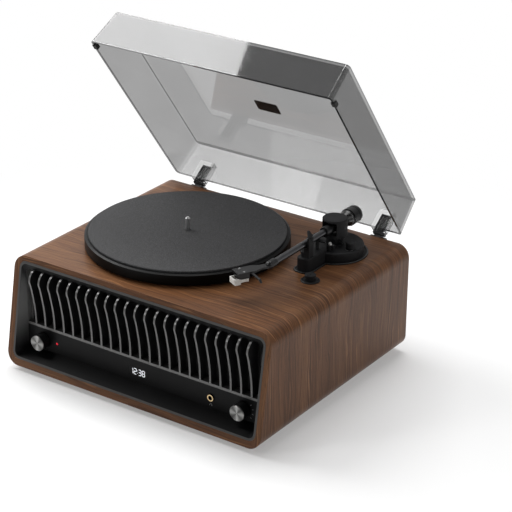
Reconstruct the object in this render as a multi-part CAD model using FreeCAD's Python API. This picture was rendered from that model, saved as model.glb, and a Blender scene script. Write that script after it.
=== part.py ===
import FreeCAD, Part
import math
import os

# Record player in millimetres. X is to the right, Y to the back, Z up.
# It is drawn with the shell's front bottom edge at the origin and moved at the end,
# so that the origin lies under the middle of the whole part.

# Clearances and the overrun of every cut
overrun = 2.0
seat_gap = 0.3
running_gap = 0.05

# Cabinet shell
shell_width = 450.0
shell_depth = 383.0
shell_height = 165.0
front_lean = 29.0
shell_corner_radius = 20.0
shell_inner_radius = 12.0
side_wall = 9.3
top_wall = 7.5
bottom_wall = 10.4

# Feet
foot_height = 7.0
foot_top_radius = 17.0
foot_bottom_radius = 15.0
foot_recess_radius = 8.0
foot_recess_depth = 1.5
foot_side_inset = 40.0
foot_front_inset = 45.0
foot_rear_inset = 43.0

# Rear panel and its sockets
rear_panel_thickness = 4.0
inlet_inset = 75.0
socket_z = 45.0
inlet_width = 27.0
inlet_height = 19.0
inlet_corner = 4.0
inlet_border = 3.5
inlet_flange_thickness = 2.5
inlet_body_depth = 16.0
inlet_pocket_width = 18.0
inlet_pocket_height = 9.0
inlet_pocket_depth = 12.0
inlet_pin_radius = 1.2
inlet_pin_length = 9.0
inlet_pin_pitch = 8.6
line_out_inset = 105.0
line_out_pitch = 20.0
line_out_radius = 4.15
line_out_length = 9.0
line_out_bore = 1.7
line_out_bore_depth = 8.0
line_out_flange_radius = 7.0
line_out_flange_thickness = 2.0
line_out_tail_radius = 5.0
line_out_tail_length = 8.0

# Front baffle: the lip at the front, the funnel and its upright floor
lip_width = 3.2
lip_radius = 8.5
recess_y = 29.4
recess_side = 18.7
recess_bottom = 22.0
recess_drop = 18.1
recess_radius = 8.0
baffle_back_y = 50.0
pocket_y = 43.4
strip_thickness = 3.0
strip_web = 2.4
strip_end_web = 6.0

# Grille
grille_bar_bottom = 56.4
grille_bar_height = 4.2
fin_count = 23
fin_margin = 15.23
fin_thickness = 3.0
fin_reach = 11.7
frame_front_y = 37.0
frame_width = 4.0
cloth_thickness = 1.0

# Front edge of a fin from its top to its bottom: reach forward and height above the bar
fin_shares = [
    (0.0, 1.0),
    (0.684, 0.949),
    (0.97, 0.87),
    (1.0, 0.823),
    (0.889, 0.773),
    (0.59, 0.621),
    (0.291, 0.424),
    (0.103, 0.268),
    (0.017, 0.117),
    (0.0, 0.0),
]

# Control strip
control_z = 38.4
display_x = -3.6
display_width = 34.0
display_height = 14.0
display_corner = 1.5
lamp_to_knob = 24.4
lamp_radius = 1.6
lamp_proud = 0.6
lamp_length = 8.0
jack_to_knob = 54.6
jack_bore = 3.2
jack_bore_depth = 16.0
jack_nut_radius = 5.8
jack_nut_thickness = 1.8
jack_barrel_radius = 4.9
jack_body_radius = 7.0
jack_body_length = 17.0

# Front knobs and the encoders behind them
knob_inset = 28.9
knob_front_y = 13.4
knob_radius = 12.0
knob_panel_gap = 0.9
knob_edge = 0.8
knob_cap_thickness = 1.8
knob_cap_inset = 0.3
knob_cap_chamfer = 0.5
knob_dish_radius = 9.6
knob_dish_depth = 0.3
knob_shaft_radius = 3.0
encoder_bush_radius = 4.2
encoder_width = 14.0
encoder_depth = 9.0
encoder_bore_depth = 7.0
encoder_end_gap = 0.4

# Loudspeakers
speaker_place_share = 0.5429
speaker_margin = 0.15
speaker_seat = 5.0
speaker_inner_share = 0.7907
speaker_flange_thickness = 2.5
basket_neck_share = 0.5814
basket_depth = 29.0
basket_wall = 2.6
basket_bore_share = 0.2907
cone_edge_gap = 0.5
cone_edge_thickness = 1.2
cone_clearance = 1.5
cone_depth = 17.0
cone_cap_share = 0.2558
cone_cap_height = 4.5
cone_wall = 1.2
magnet_share = 0.6279
magnet_thickness = 14.0
pole_share = 0.2558
pole_length = 9.0

# Main board
board_x = -40.0
board_y = 120.0
board_width = 150.0
board_depth = 95.0
board_thickness = 1.6
post_height = 6.0
post_radius = 3.5
post_inset = 6.0
can_count = 3
can_radius = 8.0
can_height = 22.0
sink_width = 50.0
sink_base = 4.0
sink_height = 26.0
sink_fin_count = 6
sink_fin_thickness = 2.0
sink_fin_length = 14.0

# Power supply
supply_inset = 40.0
supply_setback = 113.0
supply_width = 62.0
supply_depth = 34.0
supply_height = 52.0
bobbin_proud = 9.0
bobbin_inset = 12.0
supply_foot_width = 80.0
supply_foot_thickness = 2.0

# Platter, mat, spindle and bearing
platter_x = -43.7
platter_setback = 10.3
platter_share = 0.334444
platter_top = 19.0
platter_plate = 4.0
rim_bottom = 3.0
rim_wall = 6.0
rim_bevel_width = 3.0
rim_bevel_drop = 1.6
hub_radius = 65.0
hub_wall = 4.0
hub_bottom = 5.0
boss_radius = 12.0
boss_bottom = 4.0
mat_inset = 5.5
mat_thickness = 3.0
mat_edge = 0.8
mat_hole_gap = 0.5
spindle_radius = 4.0
pin_radius = 3.6
pin_height = 20.0
pin_tip_radius = 1.6
pin_tip_height = 2.4
bearing_radius = 9.0
bearing_proud = 1.0
bearing_drop = 46.0
bearing_floor = 3.0
bearing_flange_radius = 22.0
bearing_flange_thickness = 3.0
ball_radius = 2.5

# Motor, pulley and belt
motor_distance = 106.0
motor_angle = 225.0
motor_radius = 18.0
motor_height = 24.0
motor_edge = 2.0
motor_boss_radius = 4.5
motor_boss_proud = 2.0
pulley_radius = 6.0
pulley_flange = 1.2
pulley_flange_thickness = 1.0
pulley_shaft_radius = 1.2
pulley_shaft_depth = 14.0
belt_width = 5.0
belt_thickness = 0.8
belt_bottom = 7.5
belt_gap = 0.3

# Speed knob on the deck
speed_side = 53.6
speed_ahead = 103.7
speed_radius = 8.1
speed_top = 9.6
speed_edge = 0.6
speed_lift = 1.5
speed_shaft_radius = 3.0
speed_shaft_drop = 14.0
speed_mark_width = 1.2
speed_mark_height = 0.4
escutcheon_radius = 13.9
escutcheon_rim = 0.8
escutcheon_crest = 2.0
escutcheon_crest_radius = 12.4
escutcheon_dish_radius = 10.4
escutcheon_dish = 1.0

# Tonearm base, its places measured from the pivot
arm_side = 80.0
pivot_setback = 79.3
flange_thickness = 1.8
flange_floor = 0.8
flange_rim = 2.2
flange_radius = 49.5
flange_edge = 1.0
flange_margin = 5.2
drum_radius = 43.0
drum_top = 14.6
drum_edge = 2.2
extension_half_width = 10.5
extension_front = 87.2
extension_back = 32.7
extension_top = 20.5
extension_corner = 8.0
extension_edge = 1.6

# Neck column and bearing tower
neck_radius = 12.3
neck_top = 25.6
spigot_radius = 5.0
spigot_top = 30.2
tail_radius = 5.0
tail_drop = 22.0
tail_nut_radius = 9.0
tail_nut_thickness = 5.0
tower_radius = 18.5
tower_bottom = 26.5
tower_top = 53.5
tower_edge = 1.2
window_half_width = 12.0
window_bottom = 31.0
window_top = 50.6
window_corner = 2.6

# Arm sleeve, tube and pivot screws
arm_z = 40.4
sleeve_radius = 7.5
sleeve_front = 30.0
sleeve_back = 13.0
sleeve_edge = 0.8
stub_radius = 4.0
stub_back = 48.0
tube_radius = 4.8
tube_wall = 1.2
tube_socket = 7.0
screw_radius = 2.6
screw_tip_radius = 1.5
screw_tip_length = 3.0
screw_tip_gap = 0.4
screw_slot_width = 0.8
screw_slot_depth = 0.8

# Headshell, in its own axes from the bend of the arm forward
headshell_angle = 28.0
arm_reach = 166.7
headshell_length = 54.0
headshell_half_width = 9.75
headshell_neck = 5.2
headshell_shoulder = 26.0
headshell_neck_end = 15.0
headshell_corner = 2.0
headshell_top = 41.2
headshell_plate = 2.8
elbow_radius = 6.2
elbow_back = 12.0
finger_reach = 32.7
finger_width = 3.2
finger_thickness = 1.4
finger_length = 24.0
finger_lip = 4.0
finger_drop = 3.0

# Cartridge, stylus and guard
cartridge_front = 52.0
cartridge_back = 34.0
cartridge_nose = 3.5
cartridge_bottom = 28.6
cartridge_chin = 32.0
holder_half_width = 2.6
holder_back = 37.0
holder_front = 48.0
holder_bottom = 26.6
cantilever_radius = 0.5
stylus_reach = 52.9
stylus_tip_z = 24.8
guard_half_width = 7.4
guard_wall = 1.1
guard_front = 58.0
guard_block_back = 48.0
guard_rail_back = 36.0
guard_bottom = 23.3
guard_block_top = 32.4
guard_rail_bottom = 26.4
guard_rail_top = 30.6

# Counterweight and its dial, distances behind the pivot
weight_front = 35.5
weight_back = 57.0
weight_radius = 13.2
weight_edge = 4.0
weight_groove = 0.6
weight_groove_width = 1.2
weight_recess_radius = 9.0
weight_recess_depth = 9.0
dial_front = 23.0
dial_front_radius = 8.6
dial_radius = 12.2
dial_land = 3.0

# Anti-skate dial, its place measured from the pivot
skate_right = 31.4
skate_ahead = 5.7
skate_radius = 7.1
skate_height = 9.8
skate_edge = 0.7
skate_shaft_radius = 2.0
skate_shaft_depth = 8.0
skate_mark_width = 1.0
skate_mark_height = 0.4

# Cue lever and lift platform, their places measured from the pivot
cue_ahead = 29.7
cue_z = 22.0
cue_lug_start = 8.0
cue_lug_end = 15.0
cue_lug_half = 4.0
cue_shaft_radius = 1.8
cue_shaft_start = 7.0
cue_arm_start = 15.4
cue_arm_end = 18.4
cue_arm_half = 1.5
cue_hub_radius = 3.4
cue_ball_forward = 9.0
cue_ball_rise = 8.0
cue_ball_radius = 2.4
lift_radius = 46.0
lift_half_width = 3.0
lift_bottom = 33.0
lift_gap = 0.4
lift_left_angle = 15.0
lift_right_angle = 16.0
lift_post_radius = 2.8
lift_post_drop = 18.0
lift_post_room = 6.0

# Arm rest and clip, their places measured from the pivot and the arm's axis
rest_ahead = 81.5
rest_depth = 11.5
rest_left = 3.8
rest_shelf = 28.0
rest_flat = 2.8
rest_gap = 0.35
prong_gap = 0.7
prong_thickness = 3.2
clip_pivot_z = 48.2
clip_knuckle_radius = 1.8
clip_knuckle_length = 3.6
clip_pin_radius = 0.9
clip_side_gap = 0.2
clip_thickness = 2.4
clip_top = 57.8
clip_neck = 3.4
clip_tip = 3.0
clip_lean = 6.5

# Lid, drawn closed and then opened
lid_side_inset = 18.5
lid_front_y = 35.9
lid_rear_inset = 7.1
lid_height = 60.5
lid_wall = 3.0
lid_taper = 5.7
lid_corner = 6.0
lid_inner_corner = 4.0
lid_rim = 1.0
lid_open_angle = 53.2
lid_socket_width = 24.0
lid_socket_height = 34.0
lid_socket_depth = 12.0
bumper_inset = 15.0
bumper_length = 9.0
bumper_height = 5.5
bumper_thickness = 0.7
bumper_wall = 1.2
plate_width = 40.0
plate_depth = 23.0
plate_corner = 3.0
plate_thickness = 0.8
plate_share = 0.490294

# Lid hinges, measured from the shell's sides, rear face and deck
hinge_inset = 60.0
hinge_setback = 9.0
hinge_drop = 10.3
hinge_width = 24.5
hinge_plate_thickness = 2.0
hinge_plate_low = 24.0
hinge_plate_high = 3.5
hinge_knuckle_radius = 7.0
blade_knuckle_radius = 6.4
blade_knuckle_width = 12.0
hinge_pin_radius = 3.0
hinge_side_gap = 0.3
blade_width = 15.6
blade_shift = 2.0
blade_pocket_width = 20.4
blade_gap_width = 1.8
blade_gap_pitch = 6.6
blade_bridge = 2.0
blade_thickness = 3.6
blade_setback = 1.5
blade_height = 29.0
shoulder_width = 20.0
shoulder_front = 0.5
shoulder_back = 7.0
shoulder_drop = 2.8

# Places worked out from the sizes above
V = FreeCAD.Vector
arc_share = 1 - math.sqrt(0.5)
deck = shell_height
half_width = shell_width / 2
cavity_half_width = half_width - side_wall
cavity_top = shell_height - top_wall
rear_panel_y = shell_depth - rear_panel_thickness
inlet_x = inlet_inset - half_width
line_out_x = half_width - line_out_inset

# Places on the front
recess_half_width = half_width - recess_side
recess_top = shell_height - recess_drop
grille_bar_top = grille_bar_bottom + grille_bar_height
grille_back_y = pocket_y - cloth_thickness
strip_back_y = recess_y + strip_thickness
fin_pitch = 2 * (recess_half_width - fin_margin) / (fin_count - 1)
knob_x = recess_half_width - knob_inset
knob_back_y = recess_y - knob_panel_gap
lamp_x = lamp_to_knob - knob_x
jack_x = knob_x - jack_to_knob

# Loudspeakers as large as the grille's height allows
speaker_x = speaker_place_share * recess_half_width
speaker_z = (grille_bar_top + recess_top) / 2
speaker_flange_radius = recess_top - speaker_z - speaker_margin
speaker_hole_radius = speaker_flange_radius - speaker_seat
speaker_flange_inner = speaker_inner_share * speaker_flange_radius
basket_neck_radius = basket_neck_share * speaker_flange_radius
basket_bore = basket_bore_share * speaker_flange_radius
cone_edge_radius = speaker_hole_radius - cone_edge_gap
cone_cap_radius = cone_cap_share * speaker_flange_radius
magnet_radius = magnet_share * speaker_flange_radius
pole_radius = pole_share * speaker_flange_radius

# Places inside and on the deck
supply_x = supply_inset - half_width
supply_y = shell_depth - supply_setback
platter_y = shell_depth / 2 + platter_setback
platter_radius = platter_share * shell_width
platter_middle = V(platter_x, platter_y, deck)
mat_radius = platter_radius - mat_inset
mat_top = platter_top + mat_thickness
motor_x = platter_x + motor_distance * math.cos(math.radians(motor_angle))
motor_y = platter_y + motor_distance * math.sin(math.radians(motor_angle))
belt_top = belt_bottom + belt_width

# Places round the tonearm
arm_x = half_width - arm_side
pivot_y = shell_depth - pivot_setback
pivot = V(arm_x, pivot_y, deck)
arm_axis = V(arm_x, pivot_y, deck + arm_z)
bend_y = pivot_y - arm_reach
speed_x = half_width - speed_side
speed_y = pivot_y - speed_ahead
extension_front_y = pivot_y - extension_front
extension_back_y = pivot_y - extension_back
skate_x = arm_x + skate_right
skate_y = pivot_y - skate_ahead
cue_y = pivot_y - cue_ahead
cue_lug_left = arm_x + cue_lug_start
cue_lug_right = arm_x + cue_lug_end
cue_shaft_left = arm_x + cue_shaft_start
cue_arm_left = arm_x + cue_arm_start
cue_arm_right = arm_x + cue_arm_end
lift_top = arm_z - tube_radius - lift_gap
lift_y = pivot_y - lift_radius
rest_front_y = pivot_y - rest_ahead
prong_left = tube_radius + prong_gap
prong_right = prong_left + prong_thickness
clip_x = prong_left + prong_thickness / 2
cartridge_half_width = guard_half_width - guard_wall - seat_gap
cartridge_top = headshell_top - headshell_plate

# Places on the lid and its hinges
lid_bottom_z = deck + lid_rim
lid_rear_y = shell_depth - lid_rear_inset
lid_half_width = half_width - lid_side_inset
hinge_x = half_width - hinge_inset
hinge_y = shell_depth + hinge_setback
hinge_z = deck - hinge_drop
hinge_plate_bottom = deck - hinge_plate_low
hinge_plate_top = deck - hinge_plate_high
blade_y = shell_depth + blade_setback
shoulder_front_y = shell_depth + shoulder_front
shoulder_back_y = shell_depth + shoulder_back
shoulder_bottom = deck - shoulder_drop


def box(x0, x1, y0, y1, z0, z1):
    return Part.makeBox(x1 - x0, y1 - y0, z1 - z0, V(x0, y0, z0))


def rod(radius, start, end):
    return Part.makeCylinder(radius, (end - start).Length, start, end - start)


def turned(profile, base, axis):
    """Turn a closed outline of radius and height pairs about an axis."""
    points = [V(radius, 0, height) for radius, height in profile]
    face = Part.Face(Part.makePolygon(points + points[:1]))
    solid = face.revolve(V(0, 0, 0), V(0, 0, 1), 360)
    solid.Placement = FreeCAD.Placement(base, FreeCAD.Rotation(V(0, 0, 1), axis))
    return solid


def arc(start, middle, end):
    return Part.Arc(start, middle, end).toShape()


def rounded_wire(a0, a1, b0, b1, radius, place):
    """Rectangle with round corners, put into space by the function place."""
    inset = radius * arc_share
    edges = [
        Part.makeLine(place(a0 + radius, b0), place(a1 - radius, b0)),
        arc(place(a1 - radius, b0), place(a1 - inset, b0 + inset), place(a1, b0 + radius)),
        Part.makeLine(place(a1, b0 + radius), place(a1, b1 - radius)),
        arc(place(a1, b1 - radius), place(a1 - inset, b1 - inset), place(a1 - radius, b1)),
        Part.makeLine(place(a1 - radius, b1), place(a0 + radius, b1)),
        arc(place(a0 + radius, b1), place(a0 + inset, b1 - inset), place(a0, b1 - radius)),
        Part.makeLine(place(a0, b1 - radius), place(a0, b0 + radius)),
        arc(place(a0, b0 + radius), place(a0 + inset, b0 + inset), place(a0 + radius, b0)),
    ]
    return Part.Wire(edges)


def along_y(x0, x1, z0, z1, radius, y0, y1):
    wire = rounded_wire(x0, x1, z0, z1, radius, lambda a, b: V(a, y0, b))
    return Part.Face(wire).extrude(V(0, y1 - y0, 0))


def along_z(x0, x1, y0, y1, radius, z0, z1):
    wire = rounded_wire(x0, x1, y0, y1, radius, lambda a, b: V(a, b, z0))
    return Part.Face(wire).extrude(V(0, 0, z1 - z0))


def side_profile(points, x0, x1):
    """Outline of Y and Z pairs, pushed along X."""
    corners = [V(x0, y, z) for y, z in points]
    return Part.Face(Part.makePolygon(corners + corners[:1])).extrude(V(x1 - x0, 0, 0))


def front_profile(points, y0, y1):
    """Outline of X and Z pairs, pushed along Y."""
    corners = [V(x, y0, z) for x, z in points]
    return Part.Face(Part.makePolygon(corners + corners[:1])).extrude(V(0, y1 - y0, 0))


def top_edges(shape, height):
    """Edges that lie flat at one height."""
    return [edge for edge in shape.Edges if edge.BoundBox.ZMin > height - running_gap]


def rounded_top(shape, radius):
    return shape.makeFillet(radius, top_edges(shape, shape.BoundBox.ZMax))


def front_y(z):
    return front_lean * z / shell_height


def ahead_of_front():
    """The space in front of the leaning front plane."""
    low = -overrun
    high = shell_height + overrun
    outside = front_y(low) - overrun
    points = [(front_y(low), low), (front_y(high), high), (outside, high), (outside, low)]
    return side_profile(points, -shell_width, shell_width)


def on_front(a, b):
    """Point of the leaning front plane at height b."""
    return V(a, front_y(b), b)


def make_cabinet_shell():
    outer = along_y(-half_width, half_width, 0, shell_height, shell_corner_radius, 0, shell_depth)
    cavity = along_y(
        -cavity_half_width,
        cavity_half_width,
        bottom_wall,
        cavity_top,
        shell_inner_radius,
        -overrun,
        shell_depth + overrun,
    )
    shell = outer.cut(cavity).cut(ahead_of_front())
    holes = [
        (platter_x, platter_y, bearing_radius + seat_gap),
        (motor_x, motor_y, motor_boss_radius + seat_gap),
        (arm_x, pivot_y, tail_radius + seat_gap),
        (speed_x, speed_y, speed_shaft_radius + seat_gap),
    ]
    for x, y, radius in holes:
        shell = shell.cut(rod(radius, V(x, y, cavity_top - overrun), V(x, y, deck + overrun)))
    return shell


def make_feet():
    profile = [
        (foot_recess_radius, -foot_height),
        (foot_bottom_radius, -foot_height),
        (foot_top_radius, 0),
        (0, 0),
        (0, foot_recess_depth - foot_height),
        (foot_recess_radius, foot_recess_depth - foot_height),
    ]
    feet = []
    for x in (foot_side_inset - half_width, half_width - foot_side_inset):
        for y in (foot_front_inset, shell_depth - foot_rear_inset):
            feet.append(turned(profile, V(x, y, 0), V(0, 0, 1)))
    return Part.makeCompound(feet)


def cavity_plug(y0, y1):
    """Block that fills the shell's cavity with the seat gap round it."""
    return along_y(
        seat_gap - cavity_half_width,
        cavity_half_width - seat_gap,
        bottom_wall + seat_gap,
        cavity_top - seat_gap,
        shell_inner_radius - seat_gap,
        y0,
        y1,
    )


def make_rear_panel():
    panel = cavity_plug(rear_panel_y, shell_depth)
    half = inlet_width / 2 + seat_gap
    rise = inlet_height / 2 + seat_gap
    panel = panel.cut(
        along_y(
            inlet_x - half,
            inlet_x + half,
            socket_z - rise,
            socket_z + rise,
            inlet_corner,
            rear_panel_y - overrun,
            shell_depth + overrun,
        )
    )
    for x in (line_out_x, line_out_x + line_out_pitch):
        start = V(x, rear_panel_y - overrun, socket_z)
        end = V(x, shell_depth + overrun, socket_z)
        panel = panel.cut(rod(line_out_tail_radius + seat_gap, start, end))
    return panel


def make_mains_inlet():
    half = inlet_width / 2
    rise = inlet_height / 2
    back = shell_depth + inlet_flange_thickness
    flange = along_y(
        inlet_x - half - inlet_border,
        inlet_x + half + inlet_border,
        socket_z - rise - inlet_border,
        socket_z + rise + inlet_border,
        inlet_corner,
        shell_depth,
        back,
    )
    body = along_y(
        inlet_x - half,
        inlet_x + half,
        socket_z - rise,
        socket_z + rise,
        inlet_corner,
        shell_depth - inlet_body_depth,
        shell_depth,
    )
    pocket = along_y(
        inlet_x - inlet_pocket_width / 2,
        inlet_x + inlet_pocket_width / 2,
        socket_z - inlet_pocket_height / 2,
        socket_z + inlet_pocket_height / 2,
        inlet_corner,
        back - inlet_pocket_depth,
        back + overrun,
    )
    inlet = flange.fuse(body).cut(pocket)
    for side in (-1, 1):
        x = inlet_x + side * inlet_pin_pitch / 2
        start = V(x, back - inlet_pocket_depth, socket_z)
        inlet = inlet.fuse(rod(inlet_pin_radius, start, start + V(0, inlet_pin_length, 0)))
    return inlet.removeSplitter()


def make_line_out_sockets():
    flange_end = line_out_flange_thickness
    barrel_end = flange_end + line_out_length
    profile = [
        (0, -line_out_tail_length),
        (line_out_tail_radius, -line_out_tail_length),
        (line_out_tail_radius, 0),
        (line_out_flange_radius, 0),
        (line_out_flange_radius, flange_end),
        (line_out_radius, flange_end),
        (line_out_radius, barrel_end),
        (line_out_bore, barrel_end),
        (line_out_bore, barrel_end - line_out_bore_depth),
        (0, barrel_end - line_out_bore_depth),
    ]
    sockets = []
    for x in (line_out_x, line_out_x + line_out_pitch):
        sockets.append(turned(profile, V(x, shell_depth, socket_z), V(0, 1, 0)))
    return Part.makeCompound(sockets)


def recess_block(gap, y0, y1):
    """Upright outline of the recess floor, above the control strip only."""
    block = along_y(
        gap - recess_half_width,
        recess_half_width - gap,
        recess_bottom,
        recess_top - gap,
        recess_radius - gap,
        y0,
        y1,
    )
    below = box(-half_width, half_width, y0 - overrun, y1 + overrun, 0, grille_bar_bottom + gap)
    return block.cut(below)


def make_funnel():
    """Space between the lip on the leaning front and the upright recess floor."""
    opening = rounded_wire(
        lip_width + seat_gap - cavity_half_width,
        cavity_half_width - seat_gap - lip_width,
        bottom_wall + seat_gap + lip_width,
        cavity_top - seat_gap - lip_width,
        lip_radius,
        on_front,
    )
    floor = rounded_wire(
        -recess_half_width,
        recess_half_width,
        recess_bottom,
        recess_top,
        recess_radius,
        lambda a, b: V(a, recess_y, b),
    )
    return Part.makeLoft([opening, floor], True, True)


def make_front_baffle():
    baffle = cavity_plug(-overrun, baffle_back_y).cut(ahead_of_front())
    baffle = baffle.cut(make_funnel())
    baffle = baffle.cut(recess_block(0, recess_y - overrun, pocket_y))
    hollow = box(
        strip_end_web - recess_half_width,
        recess_half_width - strip_end_web,
        strip_back_y,
        baffle_back_y + overrun,
        recess_bottom,
        grille_bar_bottom - strip_web,
    )
    baffle = baffle.cut(hollow)
    for side in (-1, 1):
        start = V(side * speaker_x, pocket_y - overrun, speaker_z)
        end = V(side * speaker_x, baffle_back_y + overrun, speaker_z)
        baffle = baffle.cut(rod(speaker_hole_radius, start, end))
    holes = [
        (-knob_x, encoder_bush_radius + seat_gap),
        (knob_x, encoder_bush_radius + seat_gap),
        (lamp_x, lamp_radius + seat_gap),
        (jack_x, jack_barrel_radius + seat_gap),
    ]
    for x, radius in holes:
        start = V(x, recess_y - overrun, control_z)
        end = V(x, strip_back_y + overrun, control_z)
        baffle = baffle.cut(rod(radius, start, end))
    return baffle.cut(display_block(seat_gap, recess_y - overrun, strip_back_y + overrun))


def make_fin_face():
    """Side view of one fin: the wavy front edge and straight lines behind it."""
    rise = recess_top - seat_gap - grille_bar_top
    points = []
    for reach_share, height_share in fin_shares:
        points.append(V(0, recess_y - reach_share * fin_reach, grille_bar_top + height_share * rise))
    curve = Part.BSplineCurve()
    curve.interpolate(points)
    foot = grille_bar_top - grille_bar_height / 2
    outline = [points[-1], V(0, recess_y, foot), V(0, grille_back_y, foot)]
    outline += [V(0, grille_back_y, points[0].z), points[0]]
    return Part.Face(Part.Wire([curve.toShape()] + Part.makePolygon(outline).Edges))


def make_grille():
    outer = recess_block(seat_gap, frame_front_y, grille_back_y)
    inner = along_y(
        frame_width - recess_half_width,
        recess_half_width - frame_width,
        grille_bar_top,
        recess_top - frame_width,
        recess_radius - frame_width,
        frame_front_y - overrun,
        grille_back_y + overrun,
    )
    half = recess_half_width - seat_gap
    bar = box(-half, half, recess_y, grille_back_y, grille_bar_bottom + seat_gap, grille_bar_top)
    face = make_fin_face()
    pieces = [bar]
    for index in range(fin_count):
        fin = face.extrude(V(fin_thickness, 0, 0))
        middle = (index - (fin_count - 1) / 2) * fin_pitch
        fin.translate(V(middle - fin_thickness / 2, 0, 0))
        pieces.append(fin)
    return outer.cut(inner).multiFuse(pieces).removeSplitter()


def make_grille_cloth():
    return recess_block(seat_gap, grille_back_y, pocket_y)


def display_block(gap, y0, y1):
    half = display_width / 2 + gap
    rise = display_height / 2 + gap
    return along_y(
        display_x - half,
        display_x + half,
        control_z - rise,
        control_z + rise,
        display_corner,
        y0,
        y1,
    )


def make_display_window():
    return display_block(0, recess_y, strip_back_y)


def make_standby_lamp():
    profile = [
        (0, -lamp_proud),
        (lamp_radius / 2, -lamp_proud),
        (lamp_radius, 0),
        (lamp_radius, lamp_length),
        (0, lamp_length),
    ]
    return turned(profile, V(lamp_x, recess_y, control_z), V(0, 1, 0))


def make_headphone_socket():
    profile = [
        (jack_bore, -jack_nut_thickness),
        (jack_nut_radius, -jack_nut_thickness),
        (jack_nut_radius, 0),
        (jack_barrel_radius, 0),
        (jack_barrel_radius, strip_thickness),
        (jack_body_radius, strip_thickness),
        (jack_body_radius, jack_body_length),
        (0, jack_body_length),
        (0, jack_bore_depth - jack_nut_thickness),
        (jack_bore, jack_bore_depth - jack_nut_thickness),
    ]
    return turned(profile, V(jack_x, recess_y, control_z), V(0, 1, 0))


def make_encoder(x):
    half = encoder_width / 2
    back = strip_back_y + encoder_depth
    body = box(x - half, x + half, strip_back_y, back, control_z - half, control_z + half)
    body = body.fuse(rod(encoder_bush_radius, V(x, recess_y, control_z), V(x, strip_back_y, control_z)))
    start = V(x, recess_y - overrun, control_z)
    end = V(x, recess_y + encoder_bore_depth, control_z)
    return body.cut(rod(knob_shaft_radius + running_gap, start, end)).removeSplitter()


def make_knob(x):
    front = knob_front_y + knob_cap_thickness
    length = knob_back_y - front
    end = recess_y + encoder_bore_depth - encoder_end_gap - front
    profile = [
        (0, 0),
        (knob_radius, 0),
        (knob_radius, length - knob_edge),
        (knob_radius - knob_edge, length),
        (knob_shaft_radius, length),
        (knob_shaft_radius, end),
        (0, end),
    ]
    return turned(profile, V(x, front, control_z), V(0, 1, 0))


def make_knob_cap(x):
    radius = knob_radius - knob_cap_inset
    profile = [
        (0, knob_dish_depth),
        (knob_dish_radius, knob_dish_depth),
        (knob_dish_radius + knob_dish_depth, 0),
        (radius - knob_cap_chamfer, 0),
        (radius, knob_cap_chamfer),
        (radius, knob_cap_thickness),
        (0, knob_cap_thickness),
    ]
    return turned(profile, V(x, knob_front_y, control_z), V(0, 1, 0))


def speaker_base(side):
    return V(side * speaker_x, baffle_back_y, speaker_z)


def make_speaker_basket(side):
    profile = [
        (speaker_flange_inner, 0),
        (speaker_flange_radius, 0),
        (speaker_flange_radius, speaker_flange_thickness),
        (speaker_flange_inner + basket_wall, speaker_flange_thickness),
        (basket_neck_radius, basket_depth),
        (basket_bore, basket_depth),
        (basket_bore, basket_depth - basket_wall),
        (basket_neck_radius - basket_wall, basket_depth - basket_wall),
        (speaker_flange_inner, speaker_flange_thickness),
    ]
    return turned(profile, speaker_base(side), V(0, 1, 0))


def make_speaker_cone(side):
    edge = speaker_flange_inner - cone_clearance
    profile = [
        (cone_edge_radius, 0),
        (cone_edge_radius, -cone_edge_thickness),
        (edge, -cone_edge_thickness),
        (cone_cap_radius, cone_depth - cone_wall),
        (0, cone_depth - cone_wall - cone_cap_height),
        (0, cone_depth - cone_cap_height),
        (cone_cap_radius, cone_depth),
        (edge, 0),
    ]
    return turned(profile, speaker_base(side), V(0, 1, 0))


def make_speaker_magnet(side):
    profile = [
        (0, basket_depth - pole_length),
        (pole_radius, basket_depth - pole_length),
        (pole_radius, basket_depth),
        (magnet_radius, basket_depth),
        (magnet_radius, basket_depth + magnet_thickness),
        (0, basket_depth + magnet_thickness),
    ]
    return turned(profile, speaker_base(side), V(0, 1, 0))


def make_main_board():
    floor = bottom_wall + post_height
    top = floor + board_thickness
    right = board_x + board_width
    back = board_y + board_depth
    board = box(board_x, right, board_y, back, floor, top)
    pieces = []
    for x in (board_x + post_inset, right - post_inset):
        for y in (board_y + post_inset, back - post_inset):
            pieces.append(rod(post_radius, V(x, y, bottom_wall), V(x, y, floor)))
    for index in range(can_count):
        x = board_x + post_inset + can_radius + index * 3 * can_radius
        y = back - 3 * can_radius
        pieces.append(rod(can_radius, V(x, y, top), V(x, y, top + can_height)))
    sink_x = right - sink_width - 2 * post_inset
    sink_y = board_y + 4 * post_inset
    pieces.append(box(sink_x, sink_x + sink_width, sink_y, sink_y + sink_base, top, top + sink_height))
    pitch = (sink_width - sink_fin_thickness) / (sink_fin_count - 1)
    for index in range(sink_fin_count):
        x = sink_x + index * pitch
        end = sink_y + sink_base + sink_fin_length
        pieces.append(box(x, x + sink_fin_thickness, sink_y, end, top, top + sink_height))
    return board.multiFuse(pieces).removeSplitter()


def make_power_supply():
    right = supply_x + supply_width
    back = supply_y + supply_depth
    foot_top = bottom_wall + supply_foot_thickness
    middle = supply_x + supply_width / 2
    half = supply_foot_width / 2
    foot = box(middle - half, middle + half, supply_y, back, bottom_wall, foot_top)
    core = box(supply_x, right, supply_y, back, foot_top, foot_top + supply_height)
    bobbin = box(
        supply_x + bobbin_inset,
        right - bobbin_inset,
        supply_y - bobbin_proud,
        back + bobbin_proud,
        foot_top + bobbin_inset,
        foot_top + supply_height - bobbin_inset,
    )
    return foot.multiFuse([core, bobbin]).removeSplitter()


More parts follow.
